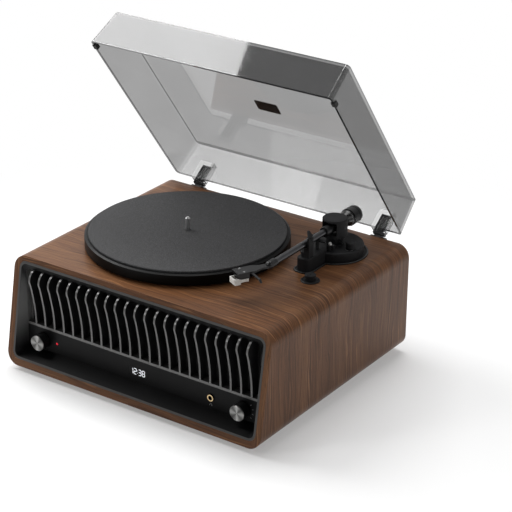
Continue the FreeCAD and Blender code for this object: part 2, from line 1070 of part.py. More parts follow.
def make_bearing_housing():
    plate = -top_wall
    bore = spindle_radius + running_gap
    profile = [
        (0, -bearing_drop),
        (bearing_radius, -bearing_drop),
        (bearing_radius, plate - bearing_flange_thickness),
        (bearing_flange_radius, plate - bearing_flange_thickness),
        (bearing_flange_radius, plate),
        (bearing_radius, plate),
        (bearing_radius, bearing_proud),
        (bore, bearing_proud),
        (bore, bearing_floor - bearing_drop),
        (0, bearing_floor - bearing_drop),
    ]
    return turned(profile, platter_middle, V(0, 0, 1))


def make_thrust_ball():
    rise = bearing_floor - bearing_drop + running_gap + ball_radius
    return Part.makeSphere(ball_radius, platter_middle + V(0, 0, rise))


def make_spindle():
    bottom = bearing_floor - bearing_drop + 2 * (running_gap + ball_radius)
    tip = mat_top + pin_height
    profile = [
        (0, bottom),
        (spindle_radius, bottom),
        (spindle_radius, platter_top),
        (pin_radius, platter_top),
        (pin_radius, tip - pin_tip_height),
        (pin_tip_radius, tip),
        (0, tip),
    ]
    return turned(profile, platter_middle, V(0, 0, 1))


def make_platter():
    under = platter_top - platter_plate
    profile = [
        (spindle_radius, boss_bottom),
        (boss_radius, boss_bottom),
        (boss_radius, under),
        (hub_radius - hub_wall, under),
        (hub_radius - hub_wall, hub_bottom),
        (hub_radius, hub_bottom),
        (hub_radius, under),
        (platter_radius - rim_wall, under),
        (platter_radius - rim_wall, rim_bottom),
        (platter_radius, rim_bottom),
        (platter_radius, platter_top - rim_bevel_drop),
        (platter_radius - rim_bevel_width, platter_top),
        (spindle_radius, platter_top),
    ]
    return turned(profile, platter_middle, V(0, 0, 1))


def make_platter_mat():
    hole = spindle_radius + mat_hole_gap
    profile = [
        (hole, platter_top),
        (mat_radius, platter_top),
        (mat_radius, mat_top - mat_edge),
        (mat_radius - mat_edge, mat_top),
        (hole, mat_top),
    ]
    return turned(profile, platter_middle, V(0, 0, 1))


def make_motor():
    bore = pulley_shaft_radius + running_gap
    top = -top_wall
    profile = [
        (0, top - motor_height),
        (motor_radius - motor_edge, top - motor_height),
        (motor_radius, top - motor_height + motor_edge),
        (motor_radius, top),
        (motor_boss_radius, top),
        (motor_boss_radius, motor_boss_proud),
        (bore, motor_boss_proud),
        (bore, -pulley_shaft_depth - seat_gap),
        (0, -pulley_shaft_depth - seat_gap),
    ]
    return turned(profile, V(motor_x, motor_y, deck), V(0, 0, 1))


def make_motor_pulley():
    low = belt_bottom - seat_gap
    high = belt_top + seat_gap
    wide = pulley_radius + pulley_flange
    profile = [
        (0, -pulley_shaft_depth),
        (pulley_shaft_radius, -pulley_shaft_depth),
        (pulley_shaft_radius, low - pulley_flange_thickness),
        (wide, low - pulley_flange_thickness),
        (wide, low),
        (pulley_radius, low),
        (pulley_radius, high),
        (wide, high),
        (wide, high + pulley_flange_thickness),
        (0, high + pulley_flange_thickness),
    ]
    return turned(profile, V(motor_x, motor_y, deck), V(0, 0, 1))


def belt_loop(gap, low, high):
    """Solid inside a taut loop round the hub and the pulley."""
    big = hub_radius + gap
    small = pulley_radius + gap
    lean = math.acos((big - small) / motor_distance)
    hub = V(platter_x, platter_y, low)
    pulley = V(motor_x, motor_y, low)
    heading = math.radians(motor_angle)
    corners = []
    ends = [(hub, big, lean), (pulley, small, lean), (pulley, small, -lean), (hub, big, -lean)]
    for middle, radius, turn in ends:
        angle = heading + turn
        corners.append(middle + V(radius * math.cos(angle), radius * math.sin(angle), 0))
    rise = V(0, 0, high - low)
    web = Part.Face(Part.makePolygon(corners + corners[:1])).extrude(rise)
    return web.multiFuse([rod(big, hub, hub + rise), rod(small, pulley, pulley + rise)]).removeSplitter()


def make_drive_belt():
    low = deck + belt_bottom
    high = deck + belt_top
    loop = belt_loop(belt_gap + belt_thickness, low, high)
    return loop.cut(belt_loop(belt_gap, low - overrun, high + overrun)).removeSplitter()


def make_knob_escutcheon():
    bore = speed_shaft_radius + running_gap
    profile = [
        (bore, 0),
        (escutcheon_radius, 0),
        (escutcheon_radius, escutcheon_rim),
        (escutcheon_crest_radius, escutcheon_crest),
        (escutcheon_dish_radius, escutcheon_dish),
        (bore, escutcheon_dish),
    ]
    return turned(profile, V(speed_x, speed_y, deck), V(0, 0, 1))


def make_speed_knob():
    profile = [
        (0, -speed_shaft_drop),
        (speed_shaft_radius, -speed_shaft_drop),
        (speed_shaft_radius, speed_lift),
        (speed_radius, speed_lift),
        (speed_radius, speed_top - speed_edge),
        (speed_radius - speed_edge, speed_top),
        (0, speed_top),
    ]
    knob = turned(profile, V(speed_x, speed_y, deck), V(0, 0, 1))
    mark = box(
        speed_x - speed_mark_width / 2,
        speed_x + speed_mark_width / 2,
        speed_y - speed_radius + 2 * speed_edge,
        speed_y,
        deck + speed_top,
        deck + speed_top + speed_mark_height,
    )
    return knob.fuse(mark).removeSplitter()


def flange_block(inset, low, high):
    """Outline of the flange round the drum and its extension, taken in all round by an inset."""
    disc = rod(flange_radius - inset, pivot + V(0, 0, low), pivot + V(0, 0, high))
    half = extension_half_width + flange_margin - inset
    tongue = along_z(
        arm_x - half,
        arm_x + half,
        extension_front_y - flange_margin + inset,
        pivot_y,
        extension_corner + flange_margin - inset,
        deck + low,
        deck + high,
    )
    return disc.fuse(tongue).removeSplitter()


def make_tonearm_flange():
    plate = flange_block(0, 0, flange_thickness)
    tray = flange_block(flange_rim, flange_floor, flange_thickness + overrun)
    bore = rod(tail_radius + seat_gap, pivot - V(0, 0, overrun), pivot + V(0, 0, drum_top))
    return rounded_top(plate, flange_edge).cut(tray).cut(bore)


def make_tonearm_base():
    low = deck + flange_floor
    start = V(arm_x, pivot_y, low)
    drum = rounded_top(rod(drum_radius, start, pivot + V(0, 0, drum_top)), drum_edge)
    extension = along_z(
        arm_x - extension_half_width,
        arm_x + extension_half_width,
        extension_front_y,
        extension_back_y,
        extension_corner,
        low,
        deck + extension_top,
    )
    lug = box(
        cue_lug_left,
        cue_lug_right,
        cue_y - cue_lug_half,
        cue_y + cue_lug_half,
        deck + drum_top - overrun,
        deck + cue_z,
    )
    lug_start = V(cue_lug_left, cue_y, deck + cue_z)
    lug_end = V(cue_lug_right, cue_y, deck + cue_z)
    lug_round = rod(cue_lug_half, lug_start, lug_end)
    base = drum.multiFuse([rounded_top(extension, extension_edge), lug, lug_round]).removeSplitter()
    tail = rod(tail_radius + seat_gap, pivot, pivot + V(0, 0, drum_top + overrun))
    post_bottom = deck + lift_bottom - lift_post_drop - lift_post_room
    post = rod(
        lift_post_radius + running_gap,
        V(arm_x, lift_y, post_bottom),
        V(arm_x, lift_y, deck + extension_top + overrun),
    )
    skate = rod(
        skate_shaft_radius + running_gap,
        V(skate_x, skate_y, deck + drum_top - skate_shaft_depth - seat_gap),
        V(skate_x, skate_y, deck + drum_top + overrun),
    )
    cue = rod(
        cue_shaft_radius + running_gap,
        V(cue_lug_left - overrun, cue_y, deck + cue_z),
        V(cue_lug_right + overrun, cue_y, deck + cue_z),
    )
    for hole in (tail, post, skate, cue):
        base = base.cut(hole)
    return base


def make_pivot_column():
    plate = -top_wall
    profile = [
        (0, -tail_drop),
        (tail_radius, -tail_drop),
        (tail_radius, plate - tail_nut_thickness),
        (tail_nut_radius, plate - tail_nut_thickness),
        (tail_nut_radius, plate),
        (tail_radius, plate),
        (tail_radius, drum_top),
        (neck_radius, drum_top),
        (neck_radius, neck_top),
        (spigot_radius, neck_top),
        (spigot_radius, spigot_top),
        (0, spigot_top),
    ]
    return turned(profile, pivot, V(0, 0, 1))


def make_arm_tower():
    start = pivot + V(0, 0, tower_bottom)
    tower = rod(tower_radius, start, pivot + V(0, 0, tower_top))
    tower = tower.makeChamfer(tower_edge, top_edges(tower, deck + tower_top))
    window = along_y(
        arm_x - window_half_width,
        arm_x + window_half_width,
        deck + window_bottom,
        deck + window_top,
        window_corner,
        pivot_y - tower_radius - overrun,
        pivot_y + tower_radius + overrun,
    )
    bore_top = pivot + V(0, 0, window_bottom + overrun)
    bore = rod(spigot_radius + running_gap, start - V(0, 0, overrun), bore_top)
    reach = V(tower_radius + overrun, 0, 0)
    screws = rod(screw_radius, arm_axis - reach, arm_axis + reach)
    return tower.cut(window).cut(bore).cut(screws)


def make_pivot_screws():
    face = math.sqrt(tower_radius ** 2 - screw_radius ** 2)
    tip = sleeve_radius - screw_tip_length + screw_tip_gap
    shoulder = sleeve_radius + screw_tip_gap
    profile = [
        (0, tip),
        (screw_tip_radius, tip),
        (screw_tip_radius, shoulder),
        (screw_radius, shoulder),
        (screw_radius, face),
        (0, face),
    ]
    screws = []
    for side in (-1, 1):
        screw = turned(profile, arm_axis, V(side, 0, 0))
        end = arm_x + side * face
        inner = arm_x + side * (face - screw_slot_depth)
        slot = box(
            min(end, inner),
            max(end, inner),
            pivot_y - screw_slot_width / 2,
            pivot_y + screw_slot_width / 2,
            arm_axis.z - screw_radius,
            arm_axis.z + screw_radius,
        )
        screws.append(screw.cut(slot))
    return Part.makeCompound(screws)


def make_pivot_block():
    profile = [
        (0, -stub_back),
        (stub_radius, -stub_back),
        (stub_radius, -sleeve_back),
        (sleeve_radius - sleeve_edge, -sleeve_back),
        (sleeve_radius, sleeve_edge - sleeve_back),
        (sleeve_radius, sleeve_front - sleeve_edge),
        (sleeve_radius - sleeve_edge, sleeve_front),
        (tube_radius + running_gap, sleeve_front),
        (tube_radius + running_gap, sleeve_front - tube_socket),
        (0, sleeve_front - tube_socket),
    ]
    block = turned(profile, arm_axis, V(0, -1, 0))
    for side in (-1, 1):
        start = arm_axis + V(side * (sleeve_radius - screw_tip_length), 0, 0)
        end = arm_axis + V(side * (sleeve_radius + overrun), 0, 0)
        block = block.cut(rod(screw_tip_radius + running_gap, start, end))
    return block


def make_arm_tube():
    back = V(arm_x, pivot_y - sleeve_front + tube_socket, arm_axis.z)
    front = V(arm_x, bend_y + elbow_back - tube_socket, arm_axis.z)
    along = V(0, overrun, 0)
    return rod(tube_radius, back, front).cut(rod(tube_radius - tube_wall, back + along, front - along))


def at_headshell(shape):
    """Move a shape from the headshell's own axes to the end of the arm."""
    turn = FreeCAD.Rotation(V(0, 0, 1), -headshell_angle)
    shape.Placement = FreeCAD.Placement(V(arm_x, bend_y, deck), turn).multiply(shape.Placement)
    return shape


def make_headshell():
    sides = [
        (headshell_half_width, -headshell_length),
        (headshell_half_width, -headshell_shoulder),
        (headshell_neck, -headshell_neck_end),
        (headshell_neck, 0),
    ]
    outline = sides + [(-x, y) for x, y in reversed(sides)]
    corners = [V(x, y, cartridge_top) for x, y in outline]
    plate = Part.Face(Part.makePolygon(corners + corners[:1])).extrude(V(0, 0, headshell_plate))
    upright = []
    for edge in plate.Edges:
        if edge.BoundBox.ZLength > headshell_plate / 2 and edge.BoundBox.YMax < -headshell_neck:
            upright.append(edge)
    plate = at_headshell(plate.makeFillet(headshell_corner, upright))
    bend = V(arm_x, bend_y, arm_axis.z)
    end = bend + V(0, elbow_back, 0)
    elbow = Part.makeSphere(elbow_radius, bend).fuse(rod(elbow_radius, bend, end))
    socket = rod(tube_radius + running_gap, end - V(0, tube_socket, 0), end + V(0, overrun, 0))
    return elbow.fuse(plate).cut(socket).removeSplitter()


def make_finger_lift():
    top = headshell_top - headshell_plate / 2
    root = headshell_half_width
    tip = root + finger_length
    profile = [
        (root, top),
        (tip, top),
        (tip + finger_lip, top - finger_drop),
        (tip + finger_lip, top - finger_drop - finger_thickness),
        (tip, top - finger_thickness),
        (root, top - finger_thickness),
    ]
    middle = -finger_reach
    return at_headshell(front_profile(profile, middle - finger_width / 2, middle + finger_width / 2))


def make_cartridge():
    profile = [
        (-cartridge_back, cartridge_top),
        (-cartridge_front, cartridge_top),
        (-cartridge_front, cartridge_chin),
        (cartridge_nose - cartridge_front, cartridge_bottom),
        (-cartridge_back, cartridge_bottom),
    ]
    return at_headshell(side_profile(profile, -cartridge_half_width, cartridge_half_width))


def make_stylus():
    profile = [
        (-holder_back, cartridge_bottom),
        (-holder_front, cartridge_bottom),
        (-holder_front, holder_bottom),
        (-holder_back, holder_bottom),
    ]
    holder = side_profile(profile, -holder_half_width, holder_half_width)
    middle = (cartridge_bottom + holder_bottom) / 2
    start = V(0, cantilever_radius - holder_front, middle)
    bend = V(0, -stylus_reach, stylus_tip_z + 2 * cantilever_radius)
    arm = rod(cantilever_radius, start, bend)
    tip = Part.makeCone(cantilever_radius, 0, bend.z - stylus_tip_z, bend, V(0, 0, -1))
    joint = Part.makeSphere(cantilever_radius, bend)
    return at_headshell(holder.multiFuse([arm, joint, tip]))


def make_stylus_guard():
    block = side_profile(
        [
            (-guard_front, guard_block_top),
            (-guard_front, guard_bottom + guard_wall),
            (guard_wall - guard_front, guard_bottom),
            (-guard_block_back, guard_bottom),
            (-guard_block_back, guard_rail_bottom),
            (-guard_rail_back, guard_rail_bottom),
            (-guard_rail_back, guard_rail_top),
            (-guard_block_back, guard_rail_top),
            (-cartridge_front, guard_block_top),
        ],
        -guard_half_width,
        guard_half_width,
    )
    inner = guard_half_width - guard_wall
    cavity = box(
        -inner,
        inner,
        guard_wall - guard_front,
        overrun - guard_rail_back,
        guard_bottom + guard_wall,
        guard_block_top + overrun,
    )
    return at_headshell(block.cut(cavity))


def make_counterweight():
    bore = stub_radius + running_gap
    corner = weight_edge * arc_share
    groove = weight_back - 2 * weight_edge
    points = [
        (bore, weight_front),
        (weight_radius, weight_front),
        (weight_radius, groove - weight_groove_width),
        (weight_radius - weight_groove, groove - weight_groove_width),
        (weight_radius - weight_groove, groove),
        (weight_radius, groove),
        (weight_radius, weight_back - weight_edge),
    ]
    edges = Part.makePolygon([V(radius, 0, height) for radius, height in points]).Edges
    start = V(weight_radius, 0, weight_back - weight_edge)
    middle = V(weight_radius - corner, 0, weight_back - corner)
    end = V(weight_radius - weight_edge, 0, weight_back)
    edges.append(arc(start, middle, end))
    hollow = weight_back - weight_recess_depth
    inside = [
        (weight_recess_radius, weight_back),
        (weight_recess_radius, hollow),
        (bore, hollow),
        (bore, weight_front),
    ]
    edges += Part.makePolygon([end] + [V(radius, 0, height) for radius, height in inside]).Edges
    solid = Part.Face(Part.Wire(edges)).revolve(V(0, 0, 0), V(0, 0, 1), 360)
    solid.Placement = FreeCAD.Placement(arm_axis, FreeCAD.Rotation(V(0, 0, 1), V(0, 1, 0)))
    return solid


def make_weight_dial():
    bore = stub_radius + running_gap
    back = weight_front - seat_gap
    profile = [
        (bore, dial_front),
        (dial_front_radius, dial_front),
        (dial_radius, back - dial_land),
        (dial_radius, back),
        (bore, back),
    ]
    return turned(profile, arm_axis, V(0, 1, 0))


def make_anti_skate_dial():
    low = drum_top + seat_gap
    high = low + skate_height
    profile = [
        (0, drum_top - skate_shaft_depth),
        (skate_shaft_radius, drum_top - skate_shaft_depth),
        (skate_shaft_radius, low),
        (skate_radius, low),
        (skate_radius, high - skate_edge),
        (skate_radius - skate_edge, high),
        (0, high),
    ]
    dial = turned(profile, V(skate_x, skate_y, deck), V(0, 0, 1))
    mark = box(
        skate_x - skate_mark_width / 2,
        skate_x + skate_mark_width / 2,
        skate_y - skate_radius + 2 * skate_edge,
        skate_y,
        deck + high,
        deck + high + skate_mark_height,
    )
    return dial.fuse(mark).removeSplitter()


def make_cue_lever():
    axis_z = deck + cue_z
    middle = (cue_arm_left + cue_arm_right) / 2
    shaft = rod(cue_shaft_radius, V(cue_shaft_left, cue_y, axis_z), V(cue_arm_left, cue_y, axis_z))
    hub = rod(cue_hub_radius, V(cue_arm_left, cue_y, axis_z), V(cue_arm_right, cue_y, axis_z))
    foot = V(middle, cue_y, axis_z)
    ball = foot + V(0, -cue_ball_forward, cue_ball_rise)
    arm = rod(cue_arm_half, foot, ball)
    return shaft.multiFuse([hub, arm, Part.makeSphere(cue_ball_radius, ball)]).removeSplitter()


def make_lift_platform():
    low = pivot + V(0, 0, lift_bottom)
    rise = V(0, 0, lift_top - lift_bottom)
    outer = lift_radius + lift_half_width
    sweep = lift_left_angle + lift_right_angle
    first = 270 - lift_left_angle
    sector = Part.makeCylinder(outer, rise.z, low, V(0, 0, 1), sweep)
    sector.rotate(low, V(0, 0, 1), first)
    ring = sector.cut(rod(lift_radius - lift_half_width, low - rise, low + 2 * rise))
    top = V(arm_x, lift_y, deck + lift_bottom)
    return ring.fuse(rod(lift_post_radius, top - V(0, 0, lift_post_drop), top)).removeSplitter()


def make_arm_rest():
    seat = arm_z - tube_radius - rest_gap
    rise = prong_left - rest_flat
    crest = clip_pivot_z + clip_knuckle_radius
    points = [
        (-rest_left, extension_top),
        (-rest_left, rest_shelf),
        (0, rest_shelf),
        (0, seat),
        (rest_flat, seat),
        (prong_left, seat + rise),
        (prong_left, crest),
        (prong_right, crest),
        (prong_right, extension_top),
    ]
    corners = [(arm_x + x, deck + z) for x, z in points]
    rest = front_profile(corners, rest_front_y, rest_front_y + rest_depth)
    middle = rest_front_y + rest_depth / 2
    half = clip_knuckle_length / 2 + clip_side_gap
    slot = box(
        arm_x + prong_left - overrun,
        arm_x + prong_right + overrun,
        middle - half,
        middle + half,
        deck + clip_pivot_z - clip_knuckle_radius - seat_gap,
        deck + crest + overrun,
    )
    start = V(arm_x + clip_x, rest_front_y, deck + clip_pivot_z)
    pin = rod(clip_pin_radius, start, start + V(0, rest_depth, 0))
    return rest.cut(slot).fuse(pin).removeSplitter()


def make_arm_clip():
    middle = rest_front_y + rest_depth / 2
    half = clip_knuckle_length / 2
    x = arm_x + clip_x
    z = deck + clip_pivot_z
    knuckle = rod(clip_knuckle_radius, V(x, middle - half, z), V(x, middle + half, z))
    left = x - clip_thickness / 2
    right = x + clip_thickness / 2
    neck = box(left, right, middle - half, middle + half, z, z + clip_neck)
    back = rest_front_y + rest_depth
    low = z + clip_neck
    top = deck + clip_top
    leaning = [(left, low), (right, low), (right - clip_lean, top), (left - clip_lean, top)]
    narrowing = [(rest_front_y, low), (back, low), (back, top), (back - clip_tip, top)]
    blade = front_profile(leaning, rest_front_y, back).common(
        side_profile(narrowing, left - clip_lean - overrun, right + overrun)
    )
    hole = rod(clip_pin_radius + running_gap, V(x, rest_front_y, z), V(x, rest_front_y + rest_depth, z))
    return knuckle.multiFuse([neck, blade]).cut(hole).removeSplitter()


def opened(shape):
    """Swing a shape of the closed lid up about the hinge axis."""
    shape.rotate(V(0, hinge_y, hinge_z), V(1, 0, 0), -lid_open_angle)
    return shape


def lid_block(wall, radius, low, high):
    """Tapered block of the lid's outline, with a wall taken off all round."""
    def outline(height):
        share = height / lid_height
        half = lid_half_width - wall - lid_taper * share
        front = lid_front_y + wall + lid_taper * share
        z = lid_bottom_z + height
        return rounded_wire(-half, half, front, lid_rear_y - wall, radius, lambda a, b: V(a, b, z))

    return Part.makeLoft([outline(low), outline(high)], True, True)


def blade_block(width, gap, low, high):
    thick = blade_thickness / 2 + gap
    return box(-width / 2, width / 2, blade_y - thick, blade_y + thick, low, high)


def make_lid():
    lid = lid_block(0, lid_corner, 0, lid_height)
    for side in (-1, 1):
        socket = box(
            side * hinge_x - lid_socket_width / 2,
            side * hinge_x + lid_socket_width / 2,
            lid_rear_y - lid_wall,
            lid_rear_y + lid_socket_depth,
            lid_bottom_z,
            lid_bottom_z + lid_socket_height,
        )
        lid = lid.fuse(socket)
    lid = lid.removeSplitter().cut(lid_block(lid_wall, lid_inner_corner, -overrun, lid_height - lid_wall))
    for side in (-1, 1):
        ceiling = lid_bottom_z + blade_height + seat_gap
        slot = blade_block(blade_pocket_width, seat_gap, lid_bottom_z - overrun, ceiling)
        slot.translate(V(side * hinge_x, 0, 0))
        lid = lid.cut(slot)
    return opened(lid)


def make_hinge_blades():
    top = lid_bottom_z - seat_gap
    half = blade_knuckle_width / 2
    wide = shoulder_width / 2
    reach = hinge_y - blade_knuckle_radius
    blades = []
    for side in (-1, 1):
        knuckle = rod(blade_knuckle_radius, V(-half, hinge_y, hinge_z), V(half, hinge_y, hinge_z))
        arm = box(-half, half, reach, hinge_y, hinge_z, top)
        shoulder = box(-wide, wide, shoulder_front_y, shoulder_back_y, shoulder_bottom, top)
        blade = blade_block(blade_width, 0, top, lid_bottom_z + blade_height)
        bridge = lid_bottom_z + blade_height - blade_bridge
        for place in (-blade_gap_pitch / 2, blade_gap_pitch / 2):
            gap = blade_block(blade_gap_width, overrun, lid_bottom_z, bridge)
            gap.translate(V(place, 0, 0))
            blade = blade.cut(gap)
        blade.translate(V(-blade_shift, 0, 0))
        piece = knuckle.multiFuse([arm, shoulder, blade])
        bore = hinge_pin_radius + running_gap
        piece = piece.cut(rod(bore, V(-wide, hinge_y, hinge_z), V(wide, hinge_y, hinge_z))).removeSplitter()
        piece.translate(V(side * hinge_x, 0, 0))
        blades.append(piece)
    return opened(Part.makeCompound(blades))


def make_hinge_brackets():
    half = hinge_width / 2
    inner = blade_knuckle_width / 2 + hinge_side_gap
    plate_back = shell_depth + hinge_plate_thickness
    brackets = []
    for side in (-1, 1):
        plate = box(-half, half, shell_depth, plate_back, hinge_plate_bottom, hinge_plate_top)
        pieces = []
        for start, end in ((-half, -inner), (inner, half)):
            barrel = rod(hinge_knuckle_radius, V(start, hinge_y, hinge_z), V(end, hinge_y, hinge_z))
            web = box(start, end, shell_depth, hinge_y, hinge_z - hinge_knuckle_radius, hinge_z)
            pieces += [barrel, web]
        bracket = plate.multiFuse(pieces)
        bore = hinge_pin_radius + running_gap
        bracket = bracket.cut(rod(bore, V(-half, hinge_y, hinge_z), V(half, hinge_y, hinge_z)))
        bracket = bracket.removeSplitter()
        bracket.translate(V(side * hinge_x, 0, 0))
        brackets.append(bracket)
    return Part.makeCompound(brackets)


def make_hinge_pins():
    half = hinge_width / 2
    pins = []
    for side in (-1, 1):
        start = V(side * hinge_x - half, hinge_y, hinge_z)
        pins.append(rod(hinge_pin_radius, start, start + V(hinge_width, 0, 0)))
    return Part.makeCompound(pins)


def make_lid_bumpers():
    y = lid_front_y + bumper_inset
    half = bumper_length / 2
    low = lid_bottom_z - bumper_thickness
    high = lid_bottom_z + bumper_height
    rim = lid_block(0, lid_corner, 0, lid_height).cut(
        lid_block(lid_wall, lid_inner_corner, -overrun, lid_height - lid_wall)
    )
    bumpers = []
    for side in (-1, 1):
        outer = side * (lid_half_width + bumper_wall)
        inner = side * (lid_half_width - lid_wall - 2 * bumper_wall)
        block = box(min(outer, inner), max(outer, inner), y - half, y + half, low, high)
        bumpers.append(block.cut(rim))
    return opened(Part.makeCompound(bumpers))


def make_lid_plate():
    y = lid_rear_y - plate_share * (lid_rear_y - lid_front_y)
    top = lid_bottom_z + lid_height
    plate = along_z(
        -plate_width / 2,
        plate_width / 2,
        y - plate_depth / 2,
        y + plate_depth / 2,
        plate_corner,
        top,
        top + plate_thickness,
    )
    return opened(plate)


def make_all():
    parts = {
        "cabinet_shell": make_cabinet_shell(),
        "feet": make_feet(),
        "rear_panel": make_rear_panel(),
        "mains_inlet": make_mains_inlet(),
        "line_out_sockets": make_line_out_sockets(),
        "front_baffle": make_front_baffle(),
        "grille": make_grille(),
        "grille_cloth": make_grille_cloth(),
        "display_window": make_display_window(),
        "standby_lamp": make_standby_lamp(),
        "headphone_socket": make_headphone_socket(),
        "main_board": make_main_board(),
        "power_supply": make_power_supply(),
        "bearing_housing": make_bearing_housing(),
        "thrust_ball": make_thrust_ball(),
        "spindle": make_spindle(),
        "platter": make_platter(),
        "platter_mat": make_platter_mat(),
        "motor": make_motor(),
        "motor_pulley": make_motor_pulley(),
        "drive_belt": make_drive_belt(),
        "knob_escutcheon": make_knob_escutcheon(),
        "speed_knob": make_speed_knob(),
        "tonearm_flange": make_tonearm_flange(),
        "tonearm_base": make_tonearm_base(),
        "pivot_column": make_pivot_column(),
        "arm_tower": make_arm_tower(),
        "pivot_screws": make_pivot_screws(),
        "pivot_block": make_pivot_block(),
        "arm_tube": make_arm_tube(),
        "headshell": make_headshell(),
        "finger_lift": make_finger_lift(),
        "cartridge": make_cartridge(),
        "stylus": make_stylus(),
        "stylus_guard": make_stylus_guard(),
        "counterweight": make_counterweight(),
        "weight_dial": make_weight_dial(),
        "anti_skate_dial": make_anti_skate_dial(),
        "cue_lever": make_cue_lever(),
        "lift_platform": make_lift_platform(),
        "arm_rest": make_arm_rest(),
        "arm_clip": make_arm_clip(),
        "lid": make_lid(),
        "lid_plate": make_lid_plate(),
        "lid_bumpers": make_lid_bumpers(),
        "hinge_blades": make_hinge_blades(),
        "hinge_brackets": make_hinge_brackets(),
        "hinge_pins": make_hinge_pins(),
    }
    for name, side in (("left", -1), ("right", 1)):
        parts[name + "_encoder"] = make_encoder(side * knob_x)
        parts[name + "_knob"] = make_knob(side * knob_x)
        parts[name + "_knob_cap"] = make_knob_cap(side * knob_x)
        parts[name + "_speaker_basket"] = make_speaker_basket(side)
        parts[name + "_speaker_cone"] = make_speaker_cone(side)
        parts[name + "_speaker_magnet"] = make_speaker_magnet(side)
    return parts


def main():
    parts = make_all()
    whole = Part.makeCompound(list(parts.values())).optimalBoundingBox()
    shift = V(-whole.Center.x, -whole.Center.y, -whole.ZMin)
    print("moved by", shift)
    os.makedirs("parts", exist_ok=True)
    for name, shape in parts.items():
        shape.translate(shift)
        shape.exportStep("parts/" + name + ".step")


main()
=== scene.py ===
import math

import bmesh
import bpy
from mathutils import Matrix, Vector


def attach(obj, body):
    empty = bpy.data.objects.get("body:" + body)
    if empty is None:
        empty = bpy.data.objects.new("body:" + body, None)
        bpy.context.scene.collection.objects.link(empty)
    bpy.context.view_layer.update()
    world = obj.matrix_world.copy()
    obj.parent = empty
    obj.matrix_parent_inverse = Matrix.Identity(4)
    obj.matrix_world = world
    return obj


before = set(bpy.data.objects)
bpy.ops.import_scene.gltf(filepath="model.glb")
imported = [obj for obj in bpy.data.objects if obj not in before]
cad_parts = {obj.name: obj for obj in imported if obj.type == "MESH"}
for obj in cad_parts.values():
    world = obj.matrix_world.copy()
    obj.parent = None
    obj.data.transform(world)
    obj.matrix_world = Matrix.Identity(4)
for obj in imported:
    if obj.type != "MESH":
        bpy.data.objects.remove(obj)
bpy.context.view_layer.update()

# Sizes in metres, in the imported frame: X right, Y back, Z up
mm = 0.001
front_shift = -0.21992411629900909
foot_height = 7 * mm
deck_z = 172 * mm
front_lean_share = 29 / 165
rear_y = front_shift + 383 * mm

# Veneer on the front and rear edges: where the edge turns from level to upright
upright_start = 211 * mm
upright_end = 217 * mm

# Front: lip of the baffle, heights of the painted light and painted shade on the cheeks of its
# recess, control strip
lip_depth = 0.1 * mm
lip_fade = 0.4 * mm
cheek_painted_shade_z = foot_height + 18 * mm
cheek_painted_light_z = foot_height + 85 * mm
strip_y = front_shift + 29.4 * mm
control_z = foot_height + 38.4 * mm
knob_x = 177.4 * mm
jack_x = 122.8 * mm
jack_mouth_radius = 3.2 * mm
jack_barrel_radius = 5.0 * mm

# Tonearm
pivot = Vector((145 * mm, front_shift + 303.7 * mm, deck_z + 40.4 * mm))
arm_bend = Vector((145 * mm, front_shift + 137 * mm, deck_z + 41.15 * mm))
headshell_angle = math.radians(28)
skate_dial = Vector((176.4 * mm, front_shift + 298 * mm, deck_z + 14.6 * mm))
# Middle and radius of the cue lever's round tip, which is painted pale as a painted highlight
cue_ball = Vector((161.9 * mm, front_shift + 265 * mm, deck_z + 30 * mm))
cue_ball_radius = 2.8 * mm
# Height of the flange's recessed floor, below which the groove is painted black as painted shade
tray_floor_z = deck_z + 1.0 * mm
tray_fade = 0.4 * mm

# Lid at rest: out from its middle, along from the hinge axis (forward is negative), up from its rim
hinge_axis = Vector((0, front_shift + 392 * mm, foot_height + 154.7 * mm))
hinge_x = 165 * mm
lid_angle = math.radians(53.2)
lid_rim_height = 11.3 * mm
lid_lean_share = 5.7 / 60.5
lid_rim_band = 0.6 * mm
lid_rim_fade = 0.8 * mm
lid_half_width = 199.7 * mm
lid_front = -349.3 * mm
lid_front_inside = -347 * mm
lid_front_fade = 3 * mm
lid_rear = -22.9 * mm
lid_rear_inside = -19.6 * mm
lid_roof_inside = 56.8 * mm
lid_top = 59.7 * mm
lid_edge_fade = 0.5 * mm
lid_face_fade = 0.4 * mm
pocket_half_width = 10.6 * mm
pocket_height = 31.2 * mm
pocket_front = -34.5 * mm
pocket_fade = 0.6 * mm

# Clock digits from seven bars each
digit_height = 8.8 * mm
digit_width = 4.3 * mm
bar_width = 0.95 * mm
bar_gap_share = 0.25
clock_left = -17.6 * mm
clock_digits = ((0.0, "1"), (6.3 * mm, "2"), (14.6 * mm, "3"), (20.9 * mm, "8"))
colon_x = clock_left + 12.6 * mm
colon_rise = 1.7 * mm
colon_half = 0.5 * mm
bars = {
    "a": ((0, 1), (1, 1)),
    "b": ((1, 1), (1, 0.5)),
    "c": ((1, 0.5), (1, 0)),
    "d": ((0, 0), (1, 0)),
    "e": ((0, 0.5), (0, 0)),
    "f": ((0, 1), (0, 0.5)),
    "g": ((0, 0.5), (1, 0.5)),
}
lit_bars = {"0": "abcdef", "1": "bc", "2": "abged", "3": "abgcd", "8": "abcdefg"}

# Printed marks on the control strip: an arc with two pads under the socket, ticks by the right knob
arc_steps = 12
arc_inner = 1.5 * mm
arc_outer = 1.95 * mm
arc_z = foot_height + 27.6 * mm
pad_side = 1.72 * mm
pad_z = foot_height + 26.9 * mm
pad_half_width = 0.45 * mm
pad_half_height = 0.75 * mm
knob_ticks = (-38, -13, 13, 38)
knob_tick_start = 15.0 * mm
knob_tick_end = 17.2 * mm
knob_tick_half = 0.35 * mm

